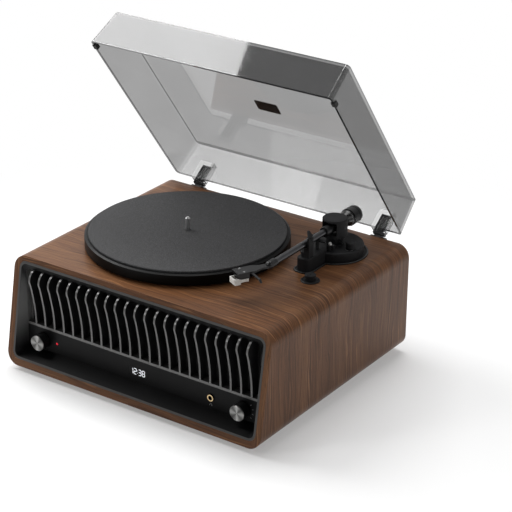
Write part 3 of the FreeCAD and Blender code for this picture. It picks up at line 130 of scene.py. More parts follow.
# Printed marks on the tracking dial's cone and by the anti-skate dial
print_lift = 0.05 * mm
cone_radius = 8.6 * mm
cone_start = 23.0 * mm
cone_slope = 3.6 / 9.2
dial_ticks = 30
dial_tick_back = 31.7 * mm
dial_tick_long = 2.2 * mm
dial_tick_short = 1.3 * mm
dial_tick_half_angle = 0.016
dial_figures = "012301"
figure_back = 27.9 * mm
figure_height = 1.9 * mm
figure_angle = 0.11
figure_half_bar = 0.16 * mm
figure_half_bar_angle = 0.017
skate_ticks = 7
skate_tick_step = 15
skate_tick_first = -135
skate_tick_start = 7.7 * mm
skate_tick_end = 8.9 * mm
skate_tick_half = 0.18 * mm

# Screws: radius and height of each head, and its places
rear_screw = (3.2 * mm, 1.5 * mm)
rear_screw_xs = (-208 * mm, -70 * mm, 70 * mm, 208 * mm)
rear_screw_zs = (foot_height + 18 * mm, foot_height + 150 * mm)
rear_screw_y = rear_y - 0.05 * mm
hinge_screw = (1.9 * mm, 0.9 * mm)
hinge_screw_sides = (-9.6 * mm, 9.6 * mm)
hinge_screw_y = rear_y + 1.95 * mm
hinge_screw_z = foot_height + 143.6 * mm
foot_screw = (4.2 * mm, 1.2 * mm)
foot_xs = (-185 * mm, 185 * mm)
foot_ys = (front_shift + 45 * mm, front_shift + 340 * mm)
foot_screw_z = 1.55 * mm
headshell_screw = (1.7 * mm, 0.8 * mm)
headshell_screw_side = 6.35 * mm
headshell_screw_reach = 43.0 * mm

# Floor, room and camera
floor_half = 9.0
shadow_radius = 0.38
white_radius = 0.79
bright_side = (-0.5, 0.86, 0.08)
camera_place = Vector((1.49764, -2.08387, 1.33415))
camera_azimuth = math.radians(34.51)
camera_elevation = math.radians(24.65)
camera_roll = math.radians(0.58)
camera_lens = 135.925
camera_sensor = 36.0


def tone(red, green, blue):
    """A screen colour from 0 to 255 as the linear colour of a socket, by the sRGB curve."""
    linear = []
    for part in (red, green, blue):
        share = part / 255
        linear.append(share / 12.92 if share < 0.04045 else ((share + 0.055) / 1.055) ** 2.4)
    return (*linear, 1.0)


def shaded(colour, share):
    """The same colour made darker or lighter."""
    return (colour[0] * share, colour[1] * share, colour[2] * share, 1.0)


class Nodes:
    """A node tree, with short ways to add nodes and join them."""

    def __init__(self, tree):
        self.tree = tree

    def put(self, socket, value):
        if isinstance(value, bpy.types.NodeSocket):
            self.tree.links.new(value, socket)
        else:
            socket.default_value = value

    def add(self, kind, inputs=(), **settings):
        node = self.tree.nodes.new("ShaderNode" + kind)
        for key, value in settings.items():
            setattr(node, key, value)
        for key, value in dict(inputs).items():
            self.put(node.inputs[key], value)
        return node

    def split(self, vector):
        return list(self.add("SeparateXYZ", {0: vector}).outputs)

    def join(self, x, y, z):
        return self.add("CombineXYZ", {0: x, 1: y, 2: z}).outputs[0]

    def math(self, operation, a, b=0.0, clamp=False):
        return self.add("Math", {0: a, 1: b}, operation=operation, use_clamp=clamp).outputs[0]

    def plus(self, first, *others):
        for other in others:
            first = self.math("ADD", first, other)
        return first

    def minus(self, a, b):
        return self.math("SUBTRACT", a, b)

    def times(self, first, *others):
        for other in others:
            first = self.math("MULTIPLY", first, other)
        return first

    def larger(self, first, *others):
        for other in others:
            first = self.math("MAXIMUM", first, other)
        return first

    def size(self, value):
        return self.math("ABSOLUTE", value)

    def length(self, a, b):
        """The length of a line with the legs a and b."""
        return self.math("SQRT", self.plus(self.times(a, a), self.times(b, b)))

    def span(self, value, low, high, new_low=0.0, new_high=1.0):
        """A smooth step from new_low at low to new_high at high."""
        inputs = {0: value, 1: low, 2: high, 3: new_low, 4: new_high}
        return self.add("MapRange", inputs, interpolation_type="SMOOTHSTEP").outputs[0]

    def noise(self, vector, scale=1.0, detail=3.0, roughness=0.55):
        inputs = {"Vector": vector, "Scale": scale, "Detail": detail, "Roughness": roughness}
        return self.add("TexNoise", inputs).outputs[0]

    def streaks(self, along, across, rates, layer, detail, roughness=0.55):
        """Noise drawn out along one way: rates are its waves along and across."""
        vector = self.join(self.times(along, rates[0]), self.times(across, rates[1]), layer)
        return self.noise(vector, 1.0, detail, roughness)

    def mix(self, factor, a, b):
        return self.add("Mix", {0: factor, 6: a, 7: b}, data_type="RGBA").outputs[2]

    def ramp(self, value, stops):
        node = self.add("ValToRGB", {0: value})
        first, last = node.color_ramp.elements
        first.position, first.color = stops[0]
        last.position, last.color = stops[-1]
        for place, colour in stops[1:-1]:
            node.color_ramp.elements.new(place).color = colour
        return node.outputs[0]


class Finish(Nodes):
    """A material, with its nodes and its surface."""

    def __init__(self, name):
        self.material = bpy.data.materials.new(name)
        self.material.use_nodes = True
        super().__init__(self.material.node_tree)
        self.surface = self.tree.nodes["Principled BSDF"]

    def set(self, **values):
        for key, value in values.items():
            self.put(self.surface.inputs[key.replace("_", " ")], value)

    def place(self):
        return self.add("TexCoord").outputs["Object"]

    def facing(self, axis):
        """How far the surface faces along an axis, either way."""
        return self.size(self.split(self.add("NewGeometry").outputs["Normal"])[axis])

    def bump(self, height, strength, distance):
        inputs = {"Height": height, "Strength": strength, "Distance": distance}
        self.set(Normal=self.add("Bump", inputs).outputs[0])

    def on(self, *names):
        for name in names:
            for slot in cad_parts[name].material_slots:
                slot.material = self.material
        return self


def moulded(
    name, colour, roughness, grain=1400.0, depth=0.04 * mm, spread=0.14, wear=0.06, gloss=0.5
):
    """Moulded or painted surface: fine grain in its height, slow change in its colour and gloss."""
    made = Finish(name)
    place = made.place()
    slow = made.span(made.noise(place, 22.0), 0.3, 0.7)
    worn = made.noise(place, 60.0, 4.0)
    made.set(
        Base_Color=made.mix(slow, shaded(colour, 1 - spread), shaded(colour, 1 + spread)),
        Roughness=made.span(worn, 0.3, 0.7, roughness - wear, roughness + wear),
        Specular_IOR_Level=gloss,
    )
    made.bump(made.noise(place, grain, 2.0), 0.25, depth)
    return made


def metal(name, colour, roughness, axis, stretch=40.0, fine=2600.0):
    """Bare metal with the lines that a tool leaves along one axis."""
    made = Finish(name)
    rates = [fine, fine, fine]
    rates[axis] = fine / stretch
    parts = made.split(made.place())
    scaled = [made.times(part, rate) for part, rate in zip(parts, rates)]
    lines = made.noise(made.join(*scaled), 1.0, 3.0, 0.6)
    made.set(
        Base_Color=made.mix(lines, shaded(colour, 0.82), shaded(colour, 1.12)),
        Metallic=1.0,
        Roughness=made.span(lines, 0.2, 0.8, roughness - 0.06, roughness + 0.08),
    )
    made.bump(lines, 0.12, 0.03 * mm)
    return made


def make_veneer():
    """Walnut whose grain runs across the deck and on down both sides."""
    made = Finish("walnut_veneer")
    x, y, z = made.split(made.place())
    along = made.plus(x, made.times(made.math("SIGN", x), made.minus(deck_z, z)))
    edge_face = made.span(made.facing(1), 0.7, 0.9)
    upright = made.span(made.size(x), upright_start, upright_end)
    edge_width = made.plus(z, made.times(made.minus(x, z), upright))
    width = made.plus(y, made.times(made.minus(edge_width, y), edge_face))
    drift = made.streaks(along, width, (5.0, 14.0), 0.0, 2.0)
    ripple = made.streaks(along, width, (24.0, 70.0), 7.0, 2.0)
    sway = made.times(made.minus(drift, 0.5), 34 * mm)
    flutter = made.times(made.minus(ripple, 0.5), 5 * mm)
    across = made.plus(width, sway, flutter)
    broad = made.streaks(along, across, (1.6, 34.0), 0.0, 3.0, 0.6)
    streak = made.streaks(along, across, (6.0, 300.0), 3.0, 4.0, 0.6)
    bright = made.streaks(along, across, (8.0, 360.0), 9.0, 3.0, 0.6)
    pore = made.streaks(along, across, (70.0, 1900.0), 5.0, 2.0, 0.5)
    tones = [(0.30, tone(84, 52, 30)), (0.48, tone(99, 64, 39)), (0.70, tone(114, 77, 48))]
    ground = made.ramp(broad, tones)
    light = made.span(bright, 0.53, 0.68, 0.0, 0.7)
    lit = made.mix(light, ground, tone(148, 104, 68))
    dark = made.times(made.span(streak, 0.49, 0.63), 0.55)
    lined = made.mix(dark, lit, tone(56, 37, 24))
    pores = made.span(pore, 0.58, 0.70)
    made.set(
        Base_Color=made.mix(made.times(pores, 0.65), lined, tone(44, 28, 18)),
        Roughness=made.span(streak, 0.3, 0.7, 0.30, 0.38),
        Specular_IOR_Level=0.19,
    )
    made.bump(made.minus(1.0, pores), 0.25, 0.05 * mm)
    return made


def make_baffle():
    """Satin black moulding with a grey lip lightened partly as a painted highlight, and recess
    cheeks painted grey as painted light that fades to painted shade downwards.
    """
    made = Finish("baffle_black")
    place = made.place()
    _, y, z = made.split(place)
    lean = made.times(made.minus(z, foot_height), front_lean_share)
    depth = made.minus(made.minus(y, front_shift), lean)
    # The lip's front face painted lighter grey, partly a painted highlight where it faces up to the
    # light
    lip = made.span(depth, lip_fade, lip_depth)
    black = made.mix(made.noise(place, 16.0), tone(9, 9, 10), tone(12, 12, 13))
    # Recess cheeks painted grey as painted light, fading into painted shade towards the bottom
    height = made.span(z, cheek_painted_shade_z, cheek_painted_light_z)
    grey = made.mix(height, tone(24, 24, 25), tone(106, 106, 105))
    cheeks_with_painted_light = made.mix(made.span(made.facing(0), 0.6, 0.95), black, grey)
    made.set(
        Base_Color=made.mix(lip, cheeks_with_painted_light, tone(80, 79, 78)),
        Roughness=made.span(made.noise(place, 40.0), 0.3, 0.7, 0.40, 0.44),
        Specular_IOR_Level=0.14,
    )
    made.bump(made.noise(place, 900.0, 2.0), 0.05, 0.01 * mm)
    return made


def make_grille():
    """Fins with dark sides and front edges painted lighter, a painted highlight where they face the
    light.
    """
    made = Finish("grille_fins")
    place = made.place()
    # Front edges painted lighter than the sides: a painted highlight where they face the light
    edge = made.span(made.facing(0), 0.75, 0.35)
    side = made.mix(made.noise(place, 30.0), tone(11, 11, 12), tone(17, 17, 18))
    made.set(
        Base_Color=made.mix(edge, side, tone(73, 72, 71)),
        Roughness=made.span(edge, 0.0, 1.0, 0.45, 0.33),
        Specular_IOR_Level=0.95,
    )
    made.bump(made.noise(place, 1500.0, 2.0), 0.2, 0.04 * mm)
    return made


def make_cloth():
    """Black cloth with a plain weave."""
    made = Finish("grille_cloth")
    x, _, z = made.split(made.place())
    thread_rate = 5200.0
    warp = made.math("SINE", made.times(x, thread_rate))
    weft = made.math("SINE", made.times(z, thread_rate))
    weave = made.span(made.times(warp, weft), -1.0, 1.0)
    made.set(Base_Color=made.mix(weave, tone(2, 2, 2), tone(12, 12, 13)), Roughness=0.9)
    made.bump(weave, 0.6, 0.2 * mm)
    return made


def make_mat():
    """Dark rubber with a fine pale speckle."""
    made = Finish("mat_rubber")
    place = made.place()
    speckle = made.noise(place, 950.0, 3.0, 0.7)
    ground = made.mix(made.noise(place, 12.0), tone(37, 37, 38), tone(42, 42, 43))
    made.set(
        Base_Color=made.mix(made.span(speckle, 0.42, 0.70), ground, tone(80, 80, 81)),
        Roughness=made.span(speckle, 0.3, 0.7, 0.6, 0.74),
        Specular_IOR_Level=0.22,
    )
    made.bump(speckle, 0.35, 0.18 * mm)
    return made


def make_cap():
    """Turned aluminium: fine circles round each knob's middle, and a painted sheen that fans out,
    painted into the base colour.
    """
    made = Finish("knob_cap_turned")
    x, _, z = made.split(made.place())
    rise = made.minus(z, control_z)
    aside = made.minus(x, made.times(made.math("SIGN", x), knob_x))
    ring_rate = 5200.0
    radius = made.length(rise, aside)
    rings = made.noise(made.join(made.times(radius, ring_rate), 0.0, 0.0), 1.0, 2.0)
    outward = made.join(aside, 0.0, rise)
    angle = made.math("ARCTAN2", rise, aside)
    # Painted sheen: lighter and darker sectors by angle round the knob's middle, painted into the
    # base colour with the turned rings
    four = made.times(made.math("COSINE", made.times(angle, 4.0)), 0.35)
    two = made.times(made.math("COSINE", made.times(angle, 2.0)), 0.15)
    painted_sheen_and_rings = made.math("ADD", made.plus(made.minus(four, two), 0.42), made.times(rings, 0.16), True)
    made.set(
        Base_Color=made.mix(painted_sheen_and_rings, tone(82, 82, 81), tone(176, 175, 173)),
        Metallic=1.0,
        Roughness=made.span(rings, 0.2, 0.8, 0.36, 0.46),
        Anisotropic=1.0,
        Tangent=made.add("VectorMath", {0: outward}, operation="NORMALIZE").outputs[0],
    )
    made.bump(rings, 0.1, 0.02 * mm)
    return made


def make_jack():
    """Gilt barrel with a dark mouth and a dark nut."""
    made = Finish("jack_gilt")
    place = made.place()
    x, _, z = made.split(place)
    radius = made.length(made.minus(z, control_z), made.minus(x, jack_x))
    mouth = made.span(radius, jack_mouth_radius + 0.3 * mm, jack_mouth_radius)
    nut = made.span(radius, jack_barrel_radius, jack_barrel_radius + 0.2 * mm)
    lines = made.noise(place, 900.0)
    ring = made.mix(lines, tone(206, 178, 132), tone(232, 208, 166))
    made.set(
        Base_Color=made.mix(made.larger(mouth, nut), ring, tone(8, 8, 8)),
        Metallic=1.0,
        Roughness=made.span(lines, 0.3, 0.7, 0.18, 0.26),
    )
    made.bump(lines, 0.08, 0.02 * mm)
    return made


def make_cue():
    """Satin black lever whose round tip is painted pale, a painted highlight."""
    made = Finish("cue_satin")
    place = made.place()
    reach = made.add("VectorMath", {0: place, 1: cue_ball}, operation="DISTANCE").outputs["Value"]
    # The lever's round tip painted pale: a painted highlight
    painted_highlight_tip = made.span(reach, cue_ball_radius + 0.5 * mm, cue_ball_radius)
    slow = made.noise(place, 90.0)
    black = made.mix(slow, tone(20, 20, 21), tone(26, 26, 27))
    made.set(
        Base_Color=made.mix(painted_highlight_tip, black, tone(186, 186, 184)),
        Roughness=made.span(slow, 0.3, 0.7, 0.30, 0.40),
    )
    made.bump(made.noise(place, 1400.0, 2.0), 0.15, 0.03 * mm)
    return made


def make_tray():
    """Satin flange whose recessed floor is painted dull black as painted shade."""
    made = Finish("tray_satin")
    place = made.place()
    z = made.split(place)[2]
    # Recessed floor round the drum painted near black: painted shade in the groove
    floor_painted_shade = made.span(z, tray_floor_z + tray_fade, tray_floor_z)
    rim = made.mix(made.noise(place, 40.0), tone(21, 21, 22), tone(28, 28, 29))
    made.set(
        Base_Color=made.mix(floor_painted_shade, rim, tone(5, 5, 5)),
        Roughness=made.span(floor_painted_shade, 0.0, 1.0, 0.34, 0.75),
        Specular_IOR_Level=0.35,
    )
    made.bump(made.noise(place, 1400.0, 2.0), 0.15, 0.03 * mm)
    return made


def make_smoke():
    """Smoked acrylic: each face holds back part of the light and mirrors the room."""
    made = Finish("lid_smoke")
    place = made.place()
    x, y, z = made.split(place)
    behind = made.minus(y, hinge_axis.y)
    raised = made.minus(z, hinge_axis.z)
    turned_up = made.times(raised, math.cos(lid_angle))
    turned_back = made.times(behind, math.sin(lid_angle))
    above_rim = made.minus(made.plus(turned_up, turned_back), lid_rim_height)
    along = made.minus(
        made.times(behind, math.cos(lid_angle)), made.times(raised, math.sin(lid_angle))
    )
    along_rear = made.plus(along, made.times(above_rim, lid_lean_share))
    wide = made.size(x)

    # Faces that hold back more or less than the rest
    rim = made.span(above_rim, lid_rim_band + lid_rim_fade, lid_rim_band, 0.0, 0.55)
    front = made.span(along, lid_front_inside + lid_front_fade, lid_front_inside, 0.0, 0.16)
    rear = made.span(along_rear, lid_rear_inside, lid_rear_inside + lid_face_fade, 0.0, -0.03)
    roof = made.span(above_rim, lid_roof_inside, lid_roof_inside + lid_face_fade, 0.0, -0.03)

    # Darker lines along the edges of the roof
    border = made.larger(
        made.span(wide, lid_half_width - lid_edge_fade, lid_half_width),
        made.span(along, lid_front + lid_edge_fade, lid_front),
        made.span(along, lid_rear - lid_edge_fade, lid_rear),
    )
    edge = made.times(border, 0.4, made.span(above_rim, lid_top - lid_face_fade, lid_top))

    # Clearer pockets round the hinge blades
    beside = made.size(made.minus(wide, hinge_x))
    pocket = made.times(
        made.span(beside, pocket_half_width + pocket_fade, pocket_half_width),
        made.span(above_rim, pocket_height + pocket_fade, pocket_height),
        made.span(along, pocket_front, pocket_front + lid_edge_fade),
        -0.31,
    )

    haze = made.noise(place, 9.0)
    body = made.span(haze, 0.3, 0.7, 0.345, 0.36)
    facing = made.add("LayerWeight", {"Blend": 0.5}).outputs["Facing"]
    longer = made.times(facing, 0.16)
    glancing = made.times(made.math("POWER", facing, 5.0), 0.35)
    held = made.plus(body, rim, edge, front, rear, roof, pocket, longer)
    made.set(
        Base_Color=made.mix(haze, tone(14, 14, 15), tone(18, 18, 19)),
        Roughness=made.span(made.noise(place, 30.0, 4.0), 0.3, 0.7, 0.02, 0.04),
        Alpha=made.math("ADD", held, glancing, True),
        IOR=1.75,
    )
    made.bump(made.noise(place, 6.0, 2.0), 0.02, 0.1 * mm)
    return made


def make_guard():
    """White plastic that lets a little light in."""
    made = Finish("guard_white")
    cloud = made.noise(made.place(), 320.0)
    made.set(
        Base_Color=made.mix(cloud, tone(226, 225, 220), tone(245, 244, 240)),
        Roughness=made.span(cloud, 0.3, 0.7, 0.28, 0.4),
        Subsurface_Weight=0.25,
        Subsurface_Radius=(2 * mm, 2 * mm, 2 * mm),
    )
    made.bump(cloud, 0.1, 0.03 * mm)
    return made


def make_glow(name, colour, strength, dim):
    """Lit or printed marking with a slightly uneven face."""
    made = Finish(name)
    uneven = made.noise(made.place(), 700.0, 2.0)
    lit = made.mix(uneven, shaded(colour, dim), colour)
    made.set(
        Base_Color=lit,
        Roughness=made.span(uneven, 0.3, 0.7, 0.3, 0.45),
        Emission_Color=lit,
        Emission_Strength=strength,
    )
    made.bump(uneven, 0.1, 0.02 * mm)
    return made


def make_board():
    """Green circuit board with paler tracks."""
    made = Finish("board_laminate")
    place = made.place()
    bricks = {"Vector": place, "Scale": 160.0, "Mortar Size": 0.06}
    tracks = made.add("TexBrick", bricks).outputs["Fac"]
    slow = made.noise(place, 40.0)
    ground = made.mix(slow, tone(18, 74, 40), tone(26, 92, 52))
    made.set(
        Base_Color=made.mix(tracks, ground, tone(70, 120, 70)),
        Roughness=made.span(slow, 0.3, 0.7, 0.35, 0.5),
    )
    made.bump(tracks, 0.2, 0.05 * mm)
    return made


# Very even gloss, with hardly any grain
smooth = {"grain": 1700.0, "depth": 0.01 * mm, "spread": 0.1, "wear": 0.03}

# Cabinet and front
make_veneer().on("cabinet_shell")
rear_board = moulded("rear_board", tone(28, 28, 28), 0.62, 700.0, 0.12 * mm, 0.05)
rear_board.on("rear_panel")
make_baffle().on("front_baffle")
make_grille().on("grille")
make_cloth().on("grille_cloth")
window = moulded("display_smoke", tone(8, 8, 9), 0.30, 900.0, 0.01 * mm, 0.1, 0.02, 0.14)
window.on("display_window")
make_glow("lamp_red", tone(228, 24, 46), 0.7, 0.85).on("standby_lamp")
metal("gilt", tone(214, 176, 112), 0.26, 1).on("line_out_sockets")
make_jack().on("headphone_socket")
knob_black = moulded("knob_black", tone(20, 20, 21), 0.36, gloss=0.35)
knob_black.on("left_knob", "right_knob", "lid_plate")
make_cap().on("left_knob_cap", "right_knob_cap")
component = moulded("component", tone(46, 46, 47), 0.55)
component.on("mains_inlet", "left_encoder", "right_encoder")
moulded("foot_rubber", tone(24, 24, 24), 0.78, 600.0, 0.1 * mm).on("feet", "lid_bumpers")

# Inside
basket = moulded("basket_paint", tone(40, 40, 41), 0.4)
basket.on("left_speaker_basket", "right_speaker_basket")
cone = moulded("cone_paper", tone(34, 33, 32), 0.85, 420.0, 0.2 * mm)
cone.on("left_speaker_cone", "right_speaker_cone")
magnet = moulded("ferrite", tone(60, 59, 58), 0.7, 500.0, 0.1 * mm)
magnet.on("left_speaker_magnet", "right_speaker_magnet")
make_board().on("main_board")
moulded("varnished_core", tone(110, 106, 98), 0.42).on("power_supply", "motor")
metal("turned_brass", tone(202, 168, 104), 0.28, 2).on("bearing_housing", "motor_pulley")
moulded("belt_rubber", tone(20, 20, 20), 0.66).on("drive_belt")

# Platter, tonearm and lid
steel = metal("polished_steel", tone(214, 214, 214), 0.16, 2)
steel.on("thrust_ball", "hinge_pins")
metal("turned_steel", tone(226, 226, 226), 0.34, 2).on("spindle")
metal("blued_steel", tone(52, 52, 54), 0.3, 0).on("pivot_screws")
moulded("platter_satin", tone(6, 6, 6), 0.40, gloss=0.1, **smooth).on("platter")
make_mat().on("platter_mat")
make_tray().on("tonearm_flange")
make_cue().on("cue_lever")
deck_black = moulded("arm_base_satin", tone(38, 38, 39), 0.50, gloss=0.1)
deck_black.on("knob_escutcheon", "tonearm_base", "arm_rest", "arm_tower", "anti_skate_dial")
deck_black.on("lift_platform", "arm_clip", "speed_knob")
arm_dark = moulded("arm_satin", tone(22, 22, 23), 0.32, gloss=0.4)
arm_dark.on("pivot_column", "pivot_block", "headshell", "finger_lift")
metal("tube_satin", tone(88, 88, 90), 0.32, 1, 90.0, 1400.0).on("arm_tube")
moulded("weight_paint", tone(26, 26, 27), 0.3, **smooth).on("counterweight")
moulded("dial_gloss", tone(12, 12, 13), 0.2, **smooth).on("weight_dial")
moulded("cartridge_black", tone(22, 22, 23), 0.28).on("cartridge", "stylus")
make_guard().on("stylus_guard")
make_smoke().on("lid")
hinge = moulded("hinge_paint", tone(22, 22, 23), 0.36)
hinge.on("hinge_brackets", "hinge_blades")

# Print and light
white_print = make_glow("white_print", tone(196, 196, 194), 0.0, 0.88)
grey_print = make_glow("grey_print", tone(138, 138, 140), 0.0, 0.85)
clock_glow = make_glow("clock_glow", tone(238, 241, 246), 0.8, 0.9)


def finished(name, mesh, made, body, matrix=None, angle=35):
    """Turn a mesh under work into a piece that rides on a body."""
    data = bpy.data.meshes.new(name)
    bmesh.ops.recalc_face_normals(mesh, faces=mesh.faces)
    mesh.to_mesh(data)
    mesh.free()
    data.shade_smooth()
    data.set_sharp_from_angle(angle=math.radians(angle))
    data.materials.append(made.material)
    piece = bpy.data.objects.new(name, data)
    bpy.context.scene.collection.objects.link(piece)
    if matrix is not None:
        piece.matrix_world = matrix
    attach(piece, body)


def close_sides(mesh, lower, upper):
    """Join two outlines of the same count by a band of faces."""
    for index in range(len(lower)):
        after = (index + 1) % len(lower)
        mesh.faces.new((lower[index], lower[after], upper[after], upper[index]))


def add_prism(mesh, outline, low, high):
    """Add an outline of X and Z pairs, from depth low to depth high along Y."""
    front = [mesh.verts.new((x, low, z)) for x, z in outline]
    back = [mesh.verts.new((x, high, z)) for x, z in outline]
    mesh.faces.new(front)
    mesh.faces.new(list(reversed(back)))
    close_sides(mesh, back, front)


def add_patch(mesh, corners, lift):
    """Add a thin raised patch on four corners, with its foot sunk by the same amount."""
    low = [mesh.verts.new(point - lift) for point in corners]
    high = [mesh.verts.new(point + lift) for point in corners]
    mesh.faces.new(list(reversed(low)))
    mesh.faces.new(high)
    close_sides(mesh, low, high)


def tick(middle, heading, aside, start, end):
    """The four corners of a straight tick that points away from a middle."""
    first, last = middle + heading * start, middle + heading * end
    return [first - aside, last - aside, last + aside, first + aside]


def flat(points):
    """The X and Z of points in the plane of the control strip."""
    return [(point.x, point.z) for point in points]


def screw_head(name, size, place, axis, body, made, turn):
    """Domed screw head with a cross recess."""
    mesh = bmesh.new()
    radius, height = size
    steps = 32
    crown_radius = radius * 0.86
    rim, crown = [], []
    for step in range(steps):
        angle = 2 * math.pi * step / steps
        rim.append(mesh.verts.new((radius * math.cos(angle), radius * math.sin(angle), 0)))
    for step in range(steps):
        angle = 2 * math.pi * step / steps
        point = (crown_radius * math.cos(angle), crown_radius * math.sin(angle), height)
        crown.append(mesh.verts.new(point))
    arm, half = radius * 0.62, radius * 0.16
    lip_height, floor_height = height * 1.08, height * 0.45
    cross = [(half, arm), (-half, arm), (-half, half), (-arm, half), (-arm, -half), (-half, -half)]
    cross += [(-half, -arm), (half, -arm), (half, -half), (arm, -half), (arm, half), (half, half)]
    lip = [mesh.verts.new((x, y, lip_height)) for x, y in cross]
    floor = [mesh.verts.new((x, y, floor_height)) for x, y in cross]
    mesh.faces.new(list(reversed(floor)))
    close_sides(mesh, lip, floor)
    close_sides(mesh, rim, crown)
    edges = []
    for ring in (crown, lip):
        for index in range(len(ring)):
            pair = (ring[index], ring[(index + 1) % len(ring)])
            edges.append(mesh.edges.get(pair) or mesh.edges.new(pair))
    bmesh.ops.triangle_fill(mesh, edges=edges, use_beauty=True)
    upright = Vector(axis).to_track_quat("Z", "Y").to_matrix().to_4x4()
    matrix = Matrix.Translation(place) @ upright @ Matrix.Rotation(turn, 4, "Z")
    finished(name, mesh, made, body, matrix, 30)


def make_clock():
    """Lit digits and a colon, a hair in front of the control strip."""
    mesh = bmesh.new()
    low, high = strip_y - 0.12 * mm, strip_y - 0.02 * mm
    for place, digit in clock_digits:
        corner = Vector((clock_left + place, 0, control_z - digit_height / 2))
        for key in lit_bars[digit]:
            (x0, z0), (x1, z1) = bars[key]
            start = corner + Vector((x0 * digit_width, 0, z0 * digit_height))
            end = corner + Vector((x1 * digit_width, 0, z1 * digit_height))
            along = (end - start).normalized() * bar_width / 2
            aside = Vector((along.z, 0, -along.x))
            start, end = start + along * bar_gap_share, end - along * bar_gap_share
            outline = [start, start + along + aside, end - along + aside]
            outline += [end, end - along - aside, start + along - aside]
            add_prism(mesh, flat(outline), low, high)
    for z in (control_z - colon_rise, control_z + colon_rise):
        outline = [(colon_x - colon_half, z), (colon_x, z - colon_half)]
        outline += [(colon_x + colon_half, z), (colon_x, z + colon_half)]
        add_prism(mesh, outline, low, high)
    finished("clock_digits", mesh, clock_glow, "cabinet")


def on_arc(radius, step):
    """The X and Z of a step along the half circle under the socket."""
    angle = math.pi * step / arc_steps
    return jack_x + radius * math.cos(angle), arc_z + radius * math.sin(angle)


def make_strip_marks():
    """Small plain printed marks by the socket and the right knob."""
    mesh = bmesh.new()
    low, high = strip_y - 0.06 * mm, strip_y - 0.01 * mm
    for step in range(arc_steps):
        outline = [on_arc(arc_inner, step), on_arc(arc_outer, step)]
        outline += [on_arc(arc_outer, step + 1), on_arc(arc_inner, step + 1)]
        add_prism(mesh, outline, low, high)
    for x in (jack_x - pad_side, jack_x + pad_side):
        left, right = x - pad_half_width, x + pad_half_width
        bottom, top = pad_z - pad_half_height, pad_z + pad_half_height
        add_prism(mesh, [(left, bottom), (right, bottom), (right, top), (left, top)], low, high)
    middle = Vector((knob_x, 0, control_z))
    for degrees in knob_ticks:
        angle = math.radians(degrees)
        heading = Vector((math.cos(angle), 0, math.sin(angle)))
        aside = Vector((-heading.z, 0, heading.x)) * knob_tick_half
        corners = tick(middle, heading, aside, knob_tick_start, knob_tick_end)
        add_prism(mesh, flat(corners), low, high)
    finished("strip_marks", mesh, grey_print, "cabinet")


def make_screws():
    """Screws of the rear panel, the hinges, the feet and the headshell."""
    back, down, up = (0, 1, 0), (0, 0, -1), (0, 0, 1)
    sides = (("left", -1), ("right", 1))
    index = 0
    for x in rear_screw_xs:
        for z in rear_screw_zs:
            name = "rear_screw_%d" % index
            point = Vector((x, rear_screw_y, z))
            screw_head(name, rear_screw, point, back, "cabinet", steel, index * 0.7)
            index += 1
    for word, side in sides:
        for rank, x in enumerate(hinge_screw_sides):
            name = "hinge_screw_%s_%d" % (word, rank)
            point = Vector((side * hinge_x + x, hinge_screw_y, hinge_screw_z))
            screw_head(name, hinge_screw, point, back, "cabinet", hinge, 0.4 + rank)
    index = 0
    for x in foot_xs:
        for y in foot_ys:
            name = "foot_screw_%d" % index
            point = Vector((x, y, foot_screw_z))
            screw_head(name, foot_screw, point, down, "cabinet", steel, index)
            index += 1
    turn = Matrix.Rotation(-headshell_angle, 4, "Z")
    for word, side in sides:
        name = "headshell_screw_%s" % word
        point = arm_bend + turn @ Vector((side * headshell_screw_side, -headshell_screw_reach, 0))
        screw_head(name, headshell_screw, point, up, "arm", steel, side * 0.5)


def add_cone_patch(mesh, places):
    """Add a patch on the tracking dial's cone from four angles and places behind the pivot."""
    corners = []
    for angle, behind in places:
        radius = cone_radius + (behind - cone_start) * cone_slope
        heading = Vector((math.cos(angle), 0, math.sin(angle)))
        corners.append(pivot + heading * radius + Vector((0, behind, 0)))
    add_patch(mesh, corners, heading * print_lift)


def make_dial_marks():
    """Ticks and figures round the tracking dial, ticks by the anti-skate dial."""
    mesh = bmesh.new()
    for step in range(dial_ticks):
        angle = 2 * math.pi * step / dial_ticks
        first, last = angle - dial_tick_half_angle, angle + dial_tick_half_angle
        back = dial_tick_back
        front = back - (dial_tick_long if step % 5 == 0 else dial_tick_short)
        add_cone_patch(mesh, [(first, front), (last, front), (last, back), (first, back)])
    for place, digit in enumerate(dial_figures):
        middle = 2 * math.pi * place / len(dial_figures)
        for key in lit_bars[digit]:
            (x0, z0), (x1, z1) = bars[key]
            a0 = middle + (x0 - 0.5) * figure_angle
            a1 = middle + (x1 - 0.5) * figure_angle
            b0 = figure_back + (0.5 - z0) * figure_height
            b1 = figure_back + (0.5 - z1) * figure_height
            level = x0 != x1
            a = 0.0 if level else figure_half_bar_angle
            b = figure_half_bar if level else 0.0
            corners = [(a0 - a, b0 - b), (a1 - a, b1 - b), (a1 + a, b1 + b), (a0 + a, b0 + b)]
            add_cone_patch(mesh, corners)
    finished("tracking_marks", mesh, white_print, "weight_dial")
    mesh = bmesh.new()
    for step in range(skate_ticks):
        angle = math.radians(skate_tick_first + step * skate_tick_step)
        heading = Vector((math.cos(angle), math.sin(angle), 0))
        aside = Vector((-heading.y, heading.x, 0)) * skate_tick_half
        corners = tick(skate_dial, heading, aside, skate_tick_start, skate_tick_end)
        add_patch(mesh, corners, Vector((0, 0, print_lift)))
    finished("anti_skate_ticks", mesh, white_print, "cabinet")


make_clock()
make_strip_marks()
make_screws()
make_dial_marks()


